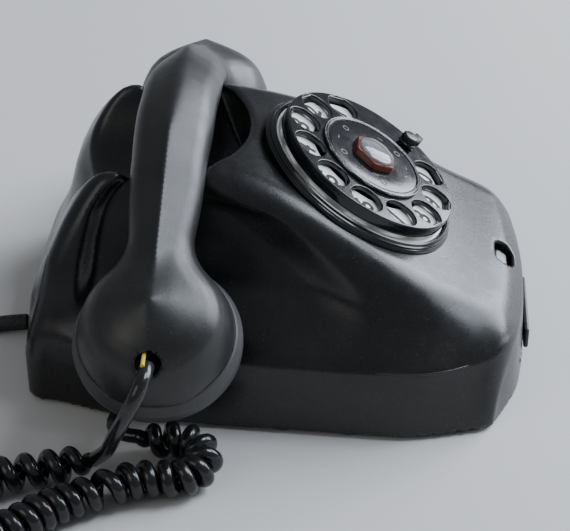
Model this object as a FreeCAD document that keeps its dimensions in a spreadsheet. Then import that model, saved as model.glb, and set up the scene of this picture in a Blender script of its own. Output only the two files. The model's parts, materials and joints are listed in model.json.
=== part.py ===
import FreeCAD, Part

import math
import os
import re

import Sketcher
from FreeCAD import Placement, Rotation, Vector

# A rotary desk telephone. +X is the user's right, +Y the rear, +Z up, in millimetres.
# The origin is on the table, under the middle of the telephone.
SIZES = {
    # whole telephone
    "wall": 3.0,
    "run_gap": 0.05,
    "loose_gap": 0.3,
    "skirt_bottom": 1.5,
    "crease_height": 27.5,
    "housing_front": -95.0,
    "housing_rear": 97.3,
    "housing_half_width": 73.5,
    "skirt_front_radius": 40.0,
    "skirt_rear_radius": 50.0,
    "side_taper": 3.0,
    # dial, measured from the centre of the finger wheel's top face
    "dial_y": -33.0,
    "dial_z": 76.8,
    "dial_tilt": 31.8,
    "dial_face": -9.5,
    "dial_hole_radius": 36.6,
    "wheel_radius": 37.5,
    "wheel_thickness": 2.2,
    "wheel_rim_depth": 5.2,
    "wheel_rim_width": 2.0,
    "finger_hole_radius": 6.65,
    "finger_hole_pitch_radius": 30.1,
    "first_hole_angle": 28.0,
    "hub_radius": 21.7,
    "hub_height": 1.2,
    "hex_radius": 9.3,
    "hex_height": 2.3,
    "lens_radius": 7.6,
    "lens_height": 5.6,
    "shaft_radius": 3.0,
    "shaft_bottom": -27.5,
    "case_radius": 36.2,
    "case_bottom": -30.0,
    "plate_bottom": -8.3,
    "plate_top": -7.1,
    "plate_inner": 21.5,
    "plate_radius": 38.2,
    "bezel_inner": 38.9,
    "bezel_radius": 42.0,
    "stop_angle": -31.0,
    "stop_post_radius": 40.0,
    "stop_knob_at": 29.5,
    "stop_knob_radius": 3.3,
    # dial gears
    "gear_module": 0.8,
    "main_teeth": 48,
    "pinion_teeth": 12,
    "gear_bottom": -20.5,
    "gear_top": -17.5,
    "governor_angle": 240.0,
    # cradle and handset
    "seat_height": 83.5,
    "cradle_x": 36.0,
    "cradle_y": 41.5,
    "basin_radius": 33.0,
    "basin_axis_z": 95.0,
    "basin_y": 48.0,
    "basin_half_length": 34.0,
    "basin_half_width": 40.0,
    "plunger_radius": 2.0,
    "plunger_bottom": 52.0,
    "handset_y": 40.5,
    "cap_x": 79.8,
    "cap_z": 41.3,
    "cap_tilt": 28.0,
    "cap_radius": 30.3,
    "cap_height": 12.0,
    "cap_lip": 2.5,
    "bell_radius": 29.6,
    "bell_apex": 37.5,
    "bell_wall": 3.0,
    "cord_hole_radius": 4.4,
    # cords
    "cord_diameter": 5.4,
    "curl_diameter": 15.0,
    "line_diameter": 6.5,
    "coil_radius": 36.0,
    "coil_band": 11.0,
    "coil_height": 13.2,
    "coil_x": 12.0,
    "coil_y": 179.0,
    "line_x": -16.0,
    "line_height": 5.2,
    "lead_y": 57.0,
    # ringer
    "gong_x": 29.0,
    "gong_y": 63.0,
    "gong_radius": 22.0,
    "gong_bottom": 20.0,
    "gong_height": 13.0,
    "gong_wall": 1.2,
    # base
    "foot_height": 3.0,
    "foot_radius": 7.0,
    "plate_height": 3.2,
    "plate_thickness": 1.4,
    "screw_radius": 1.5,
    "boss_radius": 4.5,
    # note tray and button
    "tray_half_width": 33.0,
    "tray_length": 72.0,
    "tray_bottom": 6.4,
    "tray_thickness": 2.0,
    "button_y": -84.6,
    "button_z": 32.2,
    "button_tilt": 32.0,
    "button_half_width": 6.0,
    "button_half_height": 3.4,
}

# Plan sections of the housing above the crease:
# height, half width, front, rear, front corner radius, rear corner radius.
TOWER_LEVELS = [
    (27.5, 68.8, -93.2, 95.6, 38.0, 46.0),
    (31.0, 66.3, -90.0, 94.8, 36.0, 42.0),
    (35.5, 62.3, -82.5, 93.5, 33.0, 37.0),
    (41.0, 58.0, -73.5, 92.0, 29.0, 32.0),
    (50.0, 53.5, -66.0, 89.5, 27.0, 26.0),
    (62.0, 48.5, -60.0, 84.5, 25.0, 24.0),
    (76.0, 42.5, -52.0, 77.0, 23.0, 20.0),
    (88.0, 37.0, -46.0, 68.5, 20.0, 16.0),
    (95.0, 26.5, -38.0, 60.0, 17.0, 12.0),
]
LEVEL_KEYS = ("height", "half_width", "front", "rear", "front_radius", "rear_radius")
for number, level in enumerate(TOWER_LEVELS):
    for key, amount in zip(LEVEL_KEYS, level):
        SIZES["tower_%d_%s" % (number, key)] = amount

BASE_SCREWS = [(-54, -64), (54, -64), (-58, 50), (58, 50)]
FEET = [(-50, -46), (50, -46), (-46, 44), (46, 44)]

doc = FreeCAD.newDocument("telephone")
sheet = doc.addObject("Spreadsheet::Sheet", "Sizes")
for row, (name, amount) in enumerate(SIZES.items(), start=1):
    sheet.set("A%d" % row, name)
    sheet.set("B%d" % row, str(amount))
    sheet.setAlias("B%d" % row, name)
doc.recompute()

nodes = []


# ---------------------------------------------------------------- formulas and sketches
def linked(text):
    """The formula with each size's name pointing at its cell in the sheet."""
    def cell(found):
        word = found.group()
        return "Sizes." + word if word in SIZES else word
    return re.sub(r"[a-z][a-z0-9_]*", cell, str(text))


def value(text):
    """The number that a formula of sheet sizes gives."""
    result = sheet.evalExpression(linked(text))
    return float(getattr(result, "Value", result))


def bind(thing, **properties):
    for name, text in properties.items():
        thing.setExpression(name, linked(text))
    return thing


def constrain(sketch, kind, places, text):
    index = sketch.addConstraint(Sketcher.Constraint(kind, *places, value(text)))
    sketch.setExpression("Constraints[%d]" % index, linked(text))


def pin_point(sketch, geometry, point, x, y):
    """Hold one point of the sketch at x, y, each a formula."""
    for kind, axis, text in (("DistanceX", -2, x), ("DistanceY", -1, y)):
        amount = value(text)
        if abs(amount) < 1e-9:
            sketch.addConstraint(Sketcher.Constraint("PointOnObject", geometry, point, axis))
        elif amount > 0:
            constrain(sketch, kind, (-1, 1, geometry, point), text)
        else:
            constrain(sketch, kind, (geometry, point, -1, 1), "-(%s)" % text)


def add_polygon(sketch, corners):
    spots = [Vector(value(x), value(y), 0) for x, y in corners]
    count = len(spots)
    first = sketch.GeometryCount
    sketch.addGeometry([Part.LineSegment(spots[i], spots[(i + 1) % count]) for i in range(count)], False)
    for i in range(count):
        following = first + (i + 1) % count
        sketch.addConstraint(Sketcher.Constraint("Coincident", first + i, 2, following, 1))
    for i, (x, y) in enumerate(corners):
        pin_point(sketch, first + i, 1, x, y)


def add_circle(sketch, radius, x="0", y="0"):
    centre = Vector(value(x), value(y), 0)
    index = sketch.addGeometry(Part.Circle(centre, Vector(0, 0, 1), value(radius)), False)
    constrain(sketch, "Radius", (index,), radius)
    if abs(value(x)) < 1e-9 and abs(value(y)) < 1e-9:
        sketch.addConstraint(Sketcher.Constraint("Coincident", index, 3, -1, 1))
    else:
        pin_point(sketch, index, 3, x, y)


def add_rounded_plan(sketch, half_width, front, rear, front_radius, rear_radius):
    """A closed plan outline: straight front and rear, sides that close in to the rear, round corners."""
    taper = math.radians(value("side_taper"))
    side = Vector(-math.sin(taper), math.cos(taper), 0)
    out = Vector(math.cos(taper), math.sin(taper), 0)
    width, y_front, y_rear = value(half_width), value(front), value(rear)
    corners = []
    for y in (y_front, y_rear):
        corners.append(out * width + side * ((y - out.y * width) / side.y))
    front_right, rear_right = corners
    ring = [front_right, rear_right, Vector(-rear_right.x, y_rear, 0), Vector(-front_right.x, y_front, 0)]
    radii = [front_radius, rear_radius, rear_radius, front_radius]
    starts, ends, arcs = [], [], []
    for i, corner in enumerate(ring):
        back = (ring[i - 1] - corner).normalize()
        ahead = (ring[(i + 1) % 4] - corner).normalize()
        half = back.getAngle(ahead) / 2
        reach = value(radii[i]) / math.tan(half)
        start, end = corner + back * reach, corner + ahead * reach
        middle = (back + ahead).normalize()
        centre = corner + middle * (value(radii[i]) / math.sin(half))
        arcs.append(Part.Arc(start, centre - middle * value(radii[i]), end))
        starts.append(start)
        ends.append(end)
    first = sketch.GeometryCount
    for i in range(4):
        sketch.addGeometry(arcs[i], False)
        sketch.addGeometry(Part.LineSegment(ends[i], starts[(i + 1) % 4]), False)
    for i in range(8):
        sketch.addConstraint(Sketcher.Constraint("Tangent", first + i, 2, first + (i + 1) % 8, 1))
    for i in range(4):
        constrain(sketch, "Radius", (first + 2 * i,), radii[i])
    right_side, rear_line, left_side, front_line = (first + 1, first + 3, first + 5, first + 7)
    for line, y in ((rear_line, rear), (front_line, front)):
        sketch.addConstraint(Sketcher.Constraint("Horizontal", line))
        ends_of_line = (-1, 1, line, 1) if value(y) > 0 else (line, 1, -1, 1)
        constrain(sketch, "DistanceY", ends_of_line, y if value(y) > 0 else "-(%s)" % y)
    for line in (right_side, left_side):
        constrain(sketch, "Distance", (-1, 1, line), half_width)
    sketch.addConstraint(Sketcher.Constraint("Angle", right_side, math.pi / 2 + taper))
    sketch.addConstraint(Sketcher.Constraint("Angle", left_side, -math.pi / 2 - taper))


# ---------------------------------------------------------------- bodies and features
def new_body(label):
    body = doc.addObject("PartDesign::Body", label)
    body.Label = label
    return body


def new_sketch(body, name, role="XY_Plane", lift=None):
    sketch = body.newObject("Sketcher::SketchObject", name)
    plane = next(item for item in body.Origin.OriginFeatures if item.Role == role)
    sketch.AttachmentSupport = [(plane, "")]
    sketch.MapMode = "FlatFace"
    if lift is not None:
        sketch.setExpression("AttachmentOffset.Base.z", linked(lift))
    return sketch


def turned(label, corners):
    """A body turned about its own Z axis from a profile of (radius, height) corners."""
    body = new_body(label)
    sketch = new_sketch(body, label + "_profile", "XZ_Plane")
    add_polygon(sketch, corners)
    turn = body.newObject("PartDesign::Revolution", label + "_turn")
    turn.Profile = sketch
    turn.ReferenceAxis = (sketch, ["V_Axis"])
    turn.Angle = 360
    return body


def pad(body, sketch, length, both_ways=False):
    feature = body.newObject("PartDesign::Pad", sketch.Name + "_pad")
    feature.Profile = sketch
    bind(feature, Length=length)
    feature.Midplane = both_ways
    return feature


def prism(label, corners, length, role="XY_Plane", lift="0", both_ways=False):
    """A body padded from a polygon."""
    body = new_body(label)
    sketch = new_sketch(body, label + "_outline", role, lift)
    add_polygon(sketch, corners)
    pad(body, sketch, length, both_ways)
    return body


def rectangle(half_x, low_y, high_y):
    return [("-(%s)" % half_x, low_y), (half_x, low_y), (half_x, high_y), ("-(%s)" % half_x, high_y)]


def box(name, low, high):
    """A Part box between two corners, each corner three formulas."""
    feature = doc.addObject("Part::Box", name)
    bind(feature, Length="(%s) - (%s)" % (high[0], low[0]), Width="(%s) - (%s)" % (high[1], low[1]))
    bind(feature, Height="(%s) - (%s)" % (high[2], low[2]))
    feature.Placement.Base = Vector(*[value(text) for text in low])
    return feature


def rod(name, radius, height, base, direction=Vector(0, 0, 1)):
    """A Part cylinder that starts at base, three formulas, and runs along direction."""
    feature = doc.addObject("Part::Cylinder", name)
    bind(feature, Radius=radius, Height=height)
    turn = Rotation(Vector(0, 0, 1), direction)
    feature.Placement = Placement(Vector(*[value(text) for text in base]), turn)
    return feature


def fuse(label, pieces):
    feature = doc.addObject("Part::MultiFuse", label)
    feature.Shapes = pieces
    feature.Label = label
    return feature


def cut(label, base, tool):
    feature = doc.addObject("Part::Cut", label)
    feature.Base = base
    feature.Tool = tool
    feature.Label = label
    return feature


def group(label, pieces):
    """Several separate solids kept as one node."""
    feature = doc.addObject("Part::Compound", label)
    feature.Links = pieces
    feature.Label = label
    return feature


def made(label, shape):
    feature = doc.addObject("Part::Feature", label)
    feature.Shape = shape
    feature.Label = label
    return feature


def node(feature, placement=None):
    """Keep a feature as one of the telephone's pieces."""
    if placement is not None:
        feature.Placement = placement
    nodes.append(feature)
    return feature


def copies(name, maker, places):
    """The same piece at several places."""
    pieces = []
    for number, place in enumerate(places, start=1):
        piece = maker("%s_%d" % (name, number))
        piece.Placement = Placement(place, piece.Placement.Rotation)
        pieces.append(piece)
    return pieces


# The pinion's tooth gap faces a tooth of the main gear.
PINION_SPIN = 15.0
DIAL_TURN = Rotation(Vector(1, 0, 0), value("dial_tilt"))
DIAL_CENTRE = Vector(0, value("dial_y"), value("dial_z"))
DIAL = Placement(DIAL_CENTRE, DIAL_TURN)


# ---------------------------------------------------------------- housing and base
def tower_loft(label, inset):
    """The housing's solid form above the crease, drawn in by inset."""
    body = new_body(label)
    sketches = []
    for number in range(len(TOWER_LEVELS)):
        word = "tower_%d_" % number
        lift = word + "height - %s * %g" % (inset, min(number, 1))
        sketch = new_sketch(body, "%s_section_%d" % (label, number), "XY_Plane", lift)
        add_rounded_plan(sketch, word + "half_width - " + inset, word + "front + " + inset,
                         word + "rear - " + inset, word + "front_radius - " + inset,
                         word + "rear_radius - " + inset)
        sketches.append(sketch)
    loft = body.newObject("PartDesign::AdditiveLoft", label + "_loft")
    loft.Profile = sketches[0]
    loft.Sections = sketches[1:]
    return body


def skirt_loft(label, inset, bottom):
    """The upright band between the table and the crease, drawn in by inset."""
    body = new_body(label)
    low = new_sketch(body, label + "_foot", "XY_Plane", bottom)
    add_rounded_plan(low, "housing_half_width - " + inset, "housing_front + " + inset,
                     "housing_rear - " + inset, "skirt_front_radius - " + inset,
                     "skirt_rear_radius - " + inset)
    high = new_sketch(body, label + "_crease", "XY_Plane", "crease_height")
    add_rounded_plan(high, "tower_0_half_width - " + inset, "tower_0_front + " + inset,
                     "tower_0_rear - " + inset, "tower_0_front_radius - " + inset,
                     "tower_0_rear_radius - " + inset)
    loft = body.newObject("PartDesign::AdditiveLoft", label + "_loft")
    loft.Profile = low
    loft.Sections = [high]
    loft.Ruled = True
    return body


def basin(label, grow):
    """The finger space under the handset: a round trough whose front end is half an ellipse."""
    trough = rod(label + "_trough", "basin_radius + " + grow, "120",
                 ("0", "0", "basin_axis_z"), Vector(0, 1, 0))
    ellipse = Part.Ellipse(Vector(0, 0, 0), value("basin_half_width + " + grow),
                           value("basin_half_length + " + grow))
    front_half = Part.ArcOfEllipse(ellipse, math.pi, 2 * math.pi).toShape()
    half_width = value("basin_half_width + " + grow)
    corners = [Vector(half_width, 0, 0), Vector(half_width, 70, 0)]
    corners += [Vector(-corner.x, corner.y, 0) for corner in reversed(corners)]
    sides = [Part.LineSegment(corners[i], corners[i + 1]).toShape() for i in range(3)]
    outline = Part.Wire(Part.__sortEdges__([front_half] + sides))
    block = made(label + "_plan", Part.Face(outline).extrude(Vector(0, 0, 90)))
    block.Placement.Base = Vector(0, value("basin_y"), 30)
    both = doc.addObject("Part::Common", label)
    both.Base = trough
    both.Tool = block
    return both


def cradle_trim(label, lift):
    """What is cut away above the cradle's seats, leaving horns in front and fins behind."""
    def at(y, z):
        return (y, "%s + %s" % (z, lift))
    corners = [at("26.2", "130"), at("26.2", "91"), at("28.5", "86.5"), at("32", "seat_height"),
               at("52", "seat_height"), at("56", "85"), at("59.5", "87.5"), at("66", "88.5"),
               at("120", "88.5"), at("120", "130")]
    return prism(label, corners, "240", "YZ_Plane", both_ways=True)


def above_dial_face(label, lift):
    """The half space in front of the dial's seat."""
    block = prism(label, rectangle("90", "-120", "44.6"), "120", "XY_Plane", "dial_face + " + lift)
    block.Placement = DIAL
    return block


def housing_shell():
    outer = fuse("outer_form", [skirt_loft("skirt_form", "0", "skirt_bottom"),
                                tower_loft("tower_form", "0")])
    inner = fuse("inner_form", [skirt_loft("skirt_hollow", "wall", "skirt_bottom - 1"),
                                tower_loft("tower_hollow", "wall")])
    guards = [basin("basin_wall", "wall"), cradle_trim("cradle_wall", "-wall"),
              above_dial_face("dial_wall", "-wall")]
    bosses = [rod("boss_%d" % i, "boss_radius", "60",
                  (str(x), str(y), "plate_height + plate_thickness + loose_gap"))
              for i, (x, y) in enumerate(BASE_SCREWS)]
    hollow = cut("hollow", inner, fuse("kept_walls", guards + bosses))
    trims = [basin("basin_space", "0"), cradle_trim("cradle_space", "0"), above_dial_face("dial_space", "0")]
    dial_hole = rod("dial_hole", "dial_hole_radius", "80", ("0", "0", "0"))
    dial_hole.Placement = DIAL.multiply(Placement(Vector(0, 0, -60), Rotation()))
    trims.append(dial_hole)
    for side in (-1, 1):
        trims.append(rod("plunger_hole_%d" % side, "plunger_radius + run_gap", "36",
                         ("cradle_x * %d" % side, "cradle_y", "plunger_bottom - 2")))
    for i, (x, y) in enumerate(BASE_SCREWS):
        trims.append(rod("boss_hole_%d" % i, "screw_radius + 0.15", "12", (str(x), str(y), "2")))
    trims.append(box("tray_mouth", ("-tray_half_width - loose_gap", "-110", "tray_bottom - loose_gap"),
                     ("tray_half_width + loose_gap", "-80", "tray_bottom + tray_thickness + loose_gap")))
    trims.append(button_block("button_hole", "run_gap", "-8", "20"))
    trims.append(rod("line_hole", "4.2", "20", ("line_x", "85", "line_height"), Vector(0, 1, 0)))
    trims.append(rod("lead_hole", "3.6", "20", ("-60", "lead_y", "9"), Vector(-1, 0, 0)))
    return cut("housing_shell", outer, fuse("taken_away", [hollow] + trims))


def base_plate():
    body = new_body("base_plate")
    sketch = new_sketch(body, "base_plate_outline", "XY_Plane", "plate_height")
    inset = "(wall + 1.2)"
    add_rounded_plan(sketch, "housing_half_width - " + inset, "housing_front + " + inset,
                     "housing_rear - " + inset, "skirt_front_radius - " + inset,
                     "skirt_rear_radius - " + inset)
    for x, y in BASE_SCREWS:
        add_circle(sketch, "screw_radius + 0.15", str(x), str(y))
    pad(body, sketch, "plate_thickness")
    return body


def foot(label):
    return turned(label, [("0", "0"), ("foot_radius - 1", "0"), ("foot_radius", "1"),
                          ("foot_radius - 0.6", "plate_height"), ("0", "plate_height")])


def screw(label):
    """A screw that points up, its head under the base plate."""
    return turned(label, [("0", "0"), ("2.8", "0"), ("2.8", "1.6"), ("screw_radius", "1.6"),
                          ("screw_radius", "10"), ("0", "10.6")])


def button_block(label, grow, low, high):
    """A straight key with round ends, along the button's own axis."""
    body = new_body(label)
    sketch = new_sketch(body, label + "_outline", "XY_Plane", low)
    add_polygon(sketch, rectangle("button_half_width + " + grow, "-button_half_height - " + grow,
                                  "button_half_height + " + grow))
    pad(body, sketch, "%s - (%s)" % (high, low))
    body.Placement = BUTTON
    return body


BUTTON = Placement(Vector(0, value("button_y"), value("button_z")),
                   Rotation(Vector(1, 0, 0), value("button_tilt")))

node(housing_shell())
node(base_plate())
node(group("rubber_feet", copies("foot", foot, [Vector(x, y, 0) for x, y in FEET])))
node(group("base_screws", copies("base_screw", screw,
                                 [Vector(x, y, value("plate_height - 1.6")) for x, y in BASE_SCREWS])))

# ---------------------------------------------------------------- dial
def dial_ring(label, inner, outer, low, high):
    return turned(label, [(inner, low), (outer, low), (outer, high), (inner, high)])


def finger_wheel():
    """A thin disc with a turned-down rim and ten finger holes."""
    body = turned("finger_wheel", [
        ("shaft_radius + 1", "-wheel_thickness"), ("wheel_radius - wheel_rim_width", "-wheel_thickness"),
        ("wheel_radius - wheel_rim_width", "-wheel_rim_depth"), ("wheel_radius", "-wheel_rim_depth"),
        ("wheel_radius", "-0.9"), ("wheel_radius - 0.9", "0"), ("shaft_radius + 1", "0")])
    doc.recompute()
    sketch = new_sketch(body, "finger_hole", "XY_Plane", "-wheel_rim_depth - 1")
    angle = math.radians(value("first_hole_angle"))
    add_circle(sketch, "finger_hole_radius", "finger_hole_pitch_radius * %.6f" % math.cos(angle),
               "finger_hole_pitch_radius * %.6f" % math.sin(angle))
    hole = body.newObject("PartDesign::Pocket", "finger_hole_pocket")
    hole.Profile = sketch
    hole.Reversed = True
    bind(hole, Length="wheel_rim_depth + 3")
    holes = body.newObject("PartDesign::PolarPattern", "finger_holes")
    holes.Originals = [hole]
    holes.Axis = (sketch, ["N_Axis"])
    holes.Angle = 270
    holes.Occurrences = 10
    body.Tip = holes
    return body


def hex_ring(label):
    """The six-sided holder of the clear centre cap."""
    body = new_body(label)
    sketch = new_sketch(body, label + "_outline", "XY_Plane", "hub_height")
    corners = []
    for i in range(6):
        turn = math.radians(60 * i + 30)
        corners.append(("hex_radius * %.6f" % math.cos(turn), "hex_radius * %.6f" % math.sin(turn)))
    add_polygon(sketch, corners)
    add_circle(sketch, "lens_radius")
    pad(body, sketch, "hex_height")
    return body


def gear_outline(teeth, module, backlash, clearance):
    """A closed ring of straight-flanked teeth, thinned for running play."""
    pitch = teeth * module / 2
    root = pitch - 1.1 * module - clearance
    tip = pitch + 0.8 * module
    thickness = math.pi * module / 2 - backlash
    points = []
    for tooth in range(teeth):
        centre = 2 * math.pi * tooth / teeth
        for radius, width in ((root, thickness * 1.55), (pitch, thickness), (tip, thickness * 0.42)):
            turn = centre - width / 2 / radius
            points.append(Vector(radius * math.cos(turn), radius * math.sin(turn), 0))
        for radius, width in ((tip, thickness * 0.42), (pitch, thickness), (root, thickness * 1.55)):
            turn = centre + width / 2 / radius
            points.append(Vector(radius * math.cos(turn), radius * math.sin(turn), 0))
    points.append(points[0])
    return Part.Wire(Part.makePolygon(points))


def gear(label, teeth, bore, low, high, spin=0.0):
    """A flat spur gear between two heights of its own axis."""
    outline = gear_outline(int(value(teeth)), value("gear_module"), 0.22, 0.1)
    outline.rotate(Vector(0, 0, 0), Vector(0, 0, 1), spin)
    blank = Part.Face(outline).extrude(Vector(0, 0, value(high) - value(low)))
    blank.translate(Vector(0, 0, value(low)))
    hole = Part.makeCylinder(value(bore), 60, Vector(0, 0, -50))
    return made(label, blank.cut(hole))


def spiral_spring(label, inner, outer, turns, low, high, thickness):
    """A flat strip wound in half circles that grow by one even step."""
    step = (outer - inner) / (2 * turns)
    edges = []
    start = Vector(inner, 0, low)
    for half in range(int(2 * turns)):
        side = 1 if half % 2 == 0 else -1
        radius = inner + step * (half + 0.5)
        centre = Vector(start.x - side * radius, 0, low)
        end = Vector(start.x - 2 * side * radius, 0, low)
        edges.append(Part.Arc(start, centre + Vector(0, side * radius, 0), end).toShape())
        start = end
    path = Part.Wire(edges)
    strip = path.makeOffset2D(thickness / 2, join=0, fill=True, openResult=True)
    return made(label, strip.extrude(Vector(0, 0, high - low)))


def finger_stop():
    """A post outside the wheel, an arm over its rim and a knurled knob."""
    post = box("stop_post", ("stop_post_radius - 1.2", "-2", "-5.5"), ("stop_post_radius + 1.2", "2", "0.8"))
    arm = box("stop_arm", ("stop_knob_at - 1.5", "-2", "0.8"), ("stop_post_radius + 1.2", "2", "2.2"))
    knob = rod("stop_knob", "stop_knob_radius", "3.2", ("stop_knob_at", "0", "1.6"))
    piece = fuse("finger_stop", [post, arm, knob])
    turn = Rotation(Vector(0, 0, 1), value("stop_angle"))
    piece.Placement = DIAL.multiply(Placement(Vector(0, 0, 0), turn))
    return piece


def dial_case():
    """A cup with a flange that carries the number plate, and a bush for the main shaft."""
    return turned("dial_case", [
        ("shaft_radius + run_gap", "case_bottom"), ("case_radius", "case_bottom"),
        ("case_radius", "dial_face"), ("plate_radius", "dial_face"), ("plate_radius", "plate_bottom"),
        ("case_radius - 1.5", "plate_bottom"), ("case_radius - 1.5", "case_bottom + 1.5"),
        ("7", "case_bottom + 1.5"), ("7", "case_bottom + 4.5"),
        ("shaft_radius + run_gap", "case_bottom + 4.5")])


def governor_place():
    angle = math.radians(value("governor_angle"))
    spacing = value("gear_module * (main_teeth + pinion_teeth) / 2")
    return Vector(spacing * math.cos(angle), spacing * math.sin(angle), 0)


def governor_shaft():
    return turned("governor_shaft", [("0", "-27.8"), ("1.2", "-27.8"), ("1.2", "-12"), ("0", "-11.6")])


def governor_weights():
    """A drum hub with two brake weights that swing out."""
    hub = turned("governor_hub", [("1.2", "-27"), ("4", "-27"), ("4", "-22"), ("1.2", "-22")])
    weights = []
    for side in (-1, 1):
        weights.append(box("governor_weight_%d" % side, ("3.2 * %d - 1.8" % (side * 1.5), "-3", "-26.5"),
                           ("3.2 * %d + 1.8" % (side * 1.5), "3", "-22.5")))
    return fuse("governor_weights", [hub] + weights)


def pulse_contacts():
    """Two leaf springs on a small block inside the dial case."""
    block = box("contact_block", ("20", "-4", "-22"), ("27", "4", "-16"))
    leaves = [box("contact_leaf_%d" % i, ("10", "%g" % (-3.2 + 3 * i), "-16"),
                  ("26", "%g" % (-0.8 + 3 * i), "-15.5"))
              for i in range(2)]
    pieces = fuse("pulse_contacts", [block] + leaves)
    pieces.Placement = DIAL.multiply(Placement(Vector(0, 0, 0), Rotation(Vector(0, 0, 1), 20)))
    return pieces


for piece in (
    dial_case(),
    dial_ring("number_plate", "plate_inner", "plate_radius", "plate_bottom", "plate_top"),
    turned("dial_bezel", [("bezel_inner", "dial_face"), ("bezel_radius", "dial_face"),
                          ("bezel_radius", "-8.3"),
                          ("bezel_radius - 0.9", "-7.6"), ("bezel_radius - 0.9", "-6.6"),
                          ("bezel_radius - 2", "-5.9"), ("bezel_inner", "-6.4")]),
    finger_wheel(),
    turned("hub_disc", [("shaft_radius + 1", "0"), ("hub_radius", "0"), ("hub_radius", "0.8"),
                        ("hub_radius - 0.8", "hub_height"), ("shaft_radius + 1", "hub_height")]),
    hex_ring("hub_hex_ring"),
    turned("hub_lens", [("0", "hub_height"), ("lens_radius", "hub_height"), ("lens_radius", "3.2"),
                        ("lens_radius * 0.8", "4.5"), ("lens_radius * 0.45", "5.3"), ("0", "lens_height")]),
    turned("main_shaft", [("0", "shaft_bottom - 2.5"), ("shaft_radius", "shaft_bottom - 2.5"),
                          ("shaft_radius", "-wheel_thickness"), ("shaft_radius + 1", "-wheel_thickness"),
                          ("shaft_radius + 1", "hub_height"), ("0", "hub_height")]),
    gear("main_gear", "main_teeth", "shaft_radius", "gear_bottom", "gear_top"),
    spiral_spring("return_spring", 5.0, 15.0, 4, -14.5, -10.5, 0.5),
    pulse_contacts(),
):
    node(piece, None if piece.Label == "pulse_contacts" else DIAL)
node(finger_stop())
GOVERNOR = DIAL.multiply(Placement(governor_place(), Rotation()))
for piece in (governor_shaft(), governor_weights(),
              gear("governor_pinion", "pinion_teeth", "1.2", "gear_bottom + 0.2", "gear_top - 0.2",
                   PINION_SPIN)):
    node(piece, GOVERNOR)


# ---------------------------------------------------------------- handset
# Stations along the grip: x, height of its middle, half width, half height.
GRIP_STATIONS = [(0, 99.7, 13.4, 12.7), (22, 98.0, 13.6, 11.7), (40, 93.8, 13.5, 9.9),
                 (56, 84.7, 12.5, 10.8), (70, 77.0, 11.3, 11.3), (82, 70.2, 12.0, 12.0),
                 (92, 62.5, 13.0, 12.0), (97, 58.0, 11.0, 8.0)]


def cap_place(side):
    """The middle of a cap's open face, with Z along the bell's axis."""
    tilt = Rotation(Vector(0, 1, 0), side * value("cap_tilt"))
    return Placement(Vector(side * value("cap_x"), value("handset_y"), value("cap_z")), tilt)


def bell_corners(inset):
    """The bell's outer profile from its rim to its crown, drawn in by inset."""
    rim = value("cap_height") + 0.3
    height = value("bell_apex") - inset - rim
    radius = value("bell_radius") - inset
    corners = []
    for step in range(10):
        turn = math.radians(90 * step / 9)
        corners.append(("bell_radius * %.6f" % (radius * math.cos(turn) / value("bell_radius")),
                        "cap_height + 0.3 + %.6f" % (height * math.sin(turn))))
    corners[-1] = ("0", corners[-1][1])
    return corners


def grip_loft():
    """The grip as a loft through oval sections, arched over the cradle."""
    body = new_body("grip_form")
    sketches = []
    stations = [(-x, z, wide, tall) for x, z, wide, tall in reversed(GRIP_STATIONS[1:])] + GRIP_STATIONS
    for number, (x, z, wide, tall) in enumerate(stations):
        sketch = new_sketch(body, "grip_section_%d" % number, "YZ_Plane", str(x))
        centre = Vector(value("handset_y"), z, 0)
        oval = Part.Ellipse(centre, wide, tall) if wide > tall else Part.Ellipse(
            centre + Vector(0, tall, 0), centre + Vector(wide, 0, 0), centre)
        index = sketch.addGeometry(oval, False)
        pin_point(sketch, index, 3, "handset_y", str(z))
        sketches.append(sketch)
    loft = body.newObject("PartDesign::AdditiveLoft", "grip_loft")
    loft.Profile = sketches[0]
    loft.Sections = sketches[1:]
    return body


def handset_body():
    """The one-piece moulding: grip and two hollow bells, with the cord's hole in the mouthpiece end."""
    solids, hollows = [grip_loft()], []
    for side, word in ((-1, "mouth"), (1, "ear")):
        bell = turned(word + "_bell", bell_corners(0) + [("0", "cap_height + 0.3")])
        hollow = turned(word + "_hollow", bell_corners(value("bell_wall")) + [("0", "cap_height + 0.3")])
        skirt = turned(word + "_below", [("0", "-30"), ("60", "-30"), ("60", "cap_height + 0.3"),
                                         ("0", "cap_height + 0.3")])
        for piece in (bell, hollow, skirt):
            piece.Placement = cap_place(side)
        solids.append(bell)
        hollows += [hollow, skirt]
    hollows.append(rod("handset_cord_hole", "cord_hole_radius", "30", CORD_HOLE[0], Vector(*CORD_HOLE[1])))
    return cut("handset_body", fuse("handset_form", solids), fuse("handset_hollows", hollows))


# A point inside the cord's hole in the mouthpiece bell, and the way the hole opens.
CORD_HOLE = (("-105.8", "40.2", "57.2"), (-0.987, -0.015, 0.16))


def cap(label):
    """A screwed cap: a ring with a perforated face that is slightly domed."""
    return turned(label, [("0", "-1.2"), ("cap_radius * 0.5", "-0.9"), ("cap_radius - 4", "0"),
                          ("cap_radius", "3"), ("cap_radius", "cap_height"),
                          ("cap_radius - 1.6", "cap_height"),
                          ("cap_radius - 2.4", "cap_height - 0.8"), ("cap_radius - 2.4", "4"),
                          ("cap_radius - 5", "cap_lip - 0.2"), ("0", "cap_lip - 0.9")])


def perforated_cap(label, rings):
    """Sound holes in rings round the middle of a cap."""
    blank = cap(label + "_blank")
    drills = []
    for ring, (radius, count) in enumerate(rings):
        for hole in range(count):
            turn = 2 * math.pi * hole / count
            place = ("%.5f" % (radius * math.cos(turn)), "%.5f" % (radius * math.sin(turn)), "-4")
            drills.append(rod("%s_hole_%d_%d" % (label, ring, hole), "1.1", "12", place))
    return cut(label, blank, fuse(label + "_holes", drills))


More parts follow.
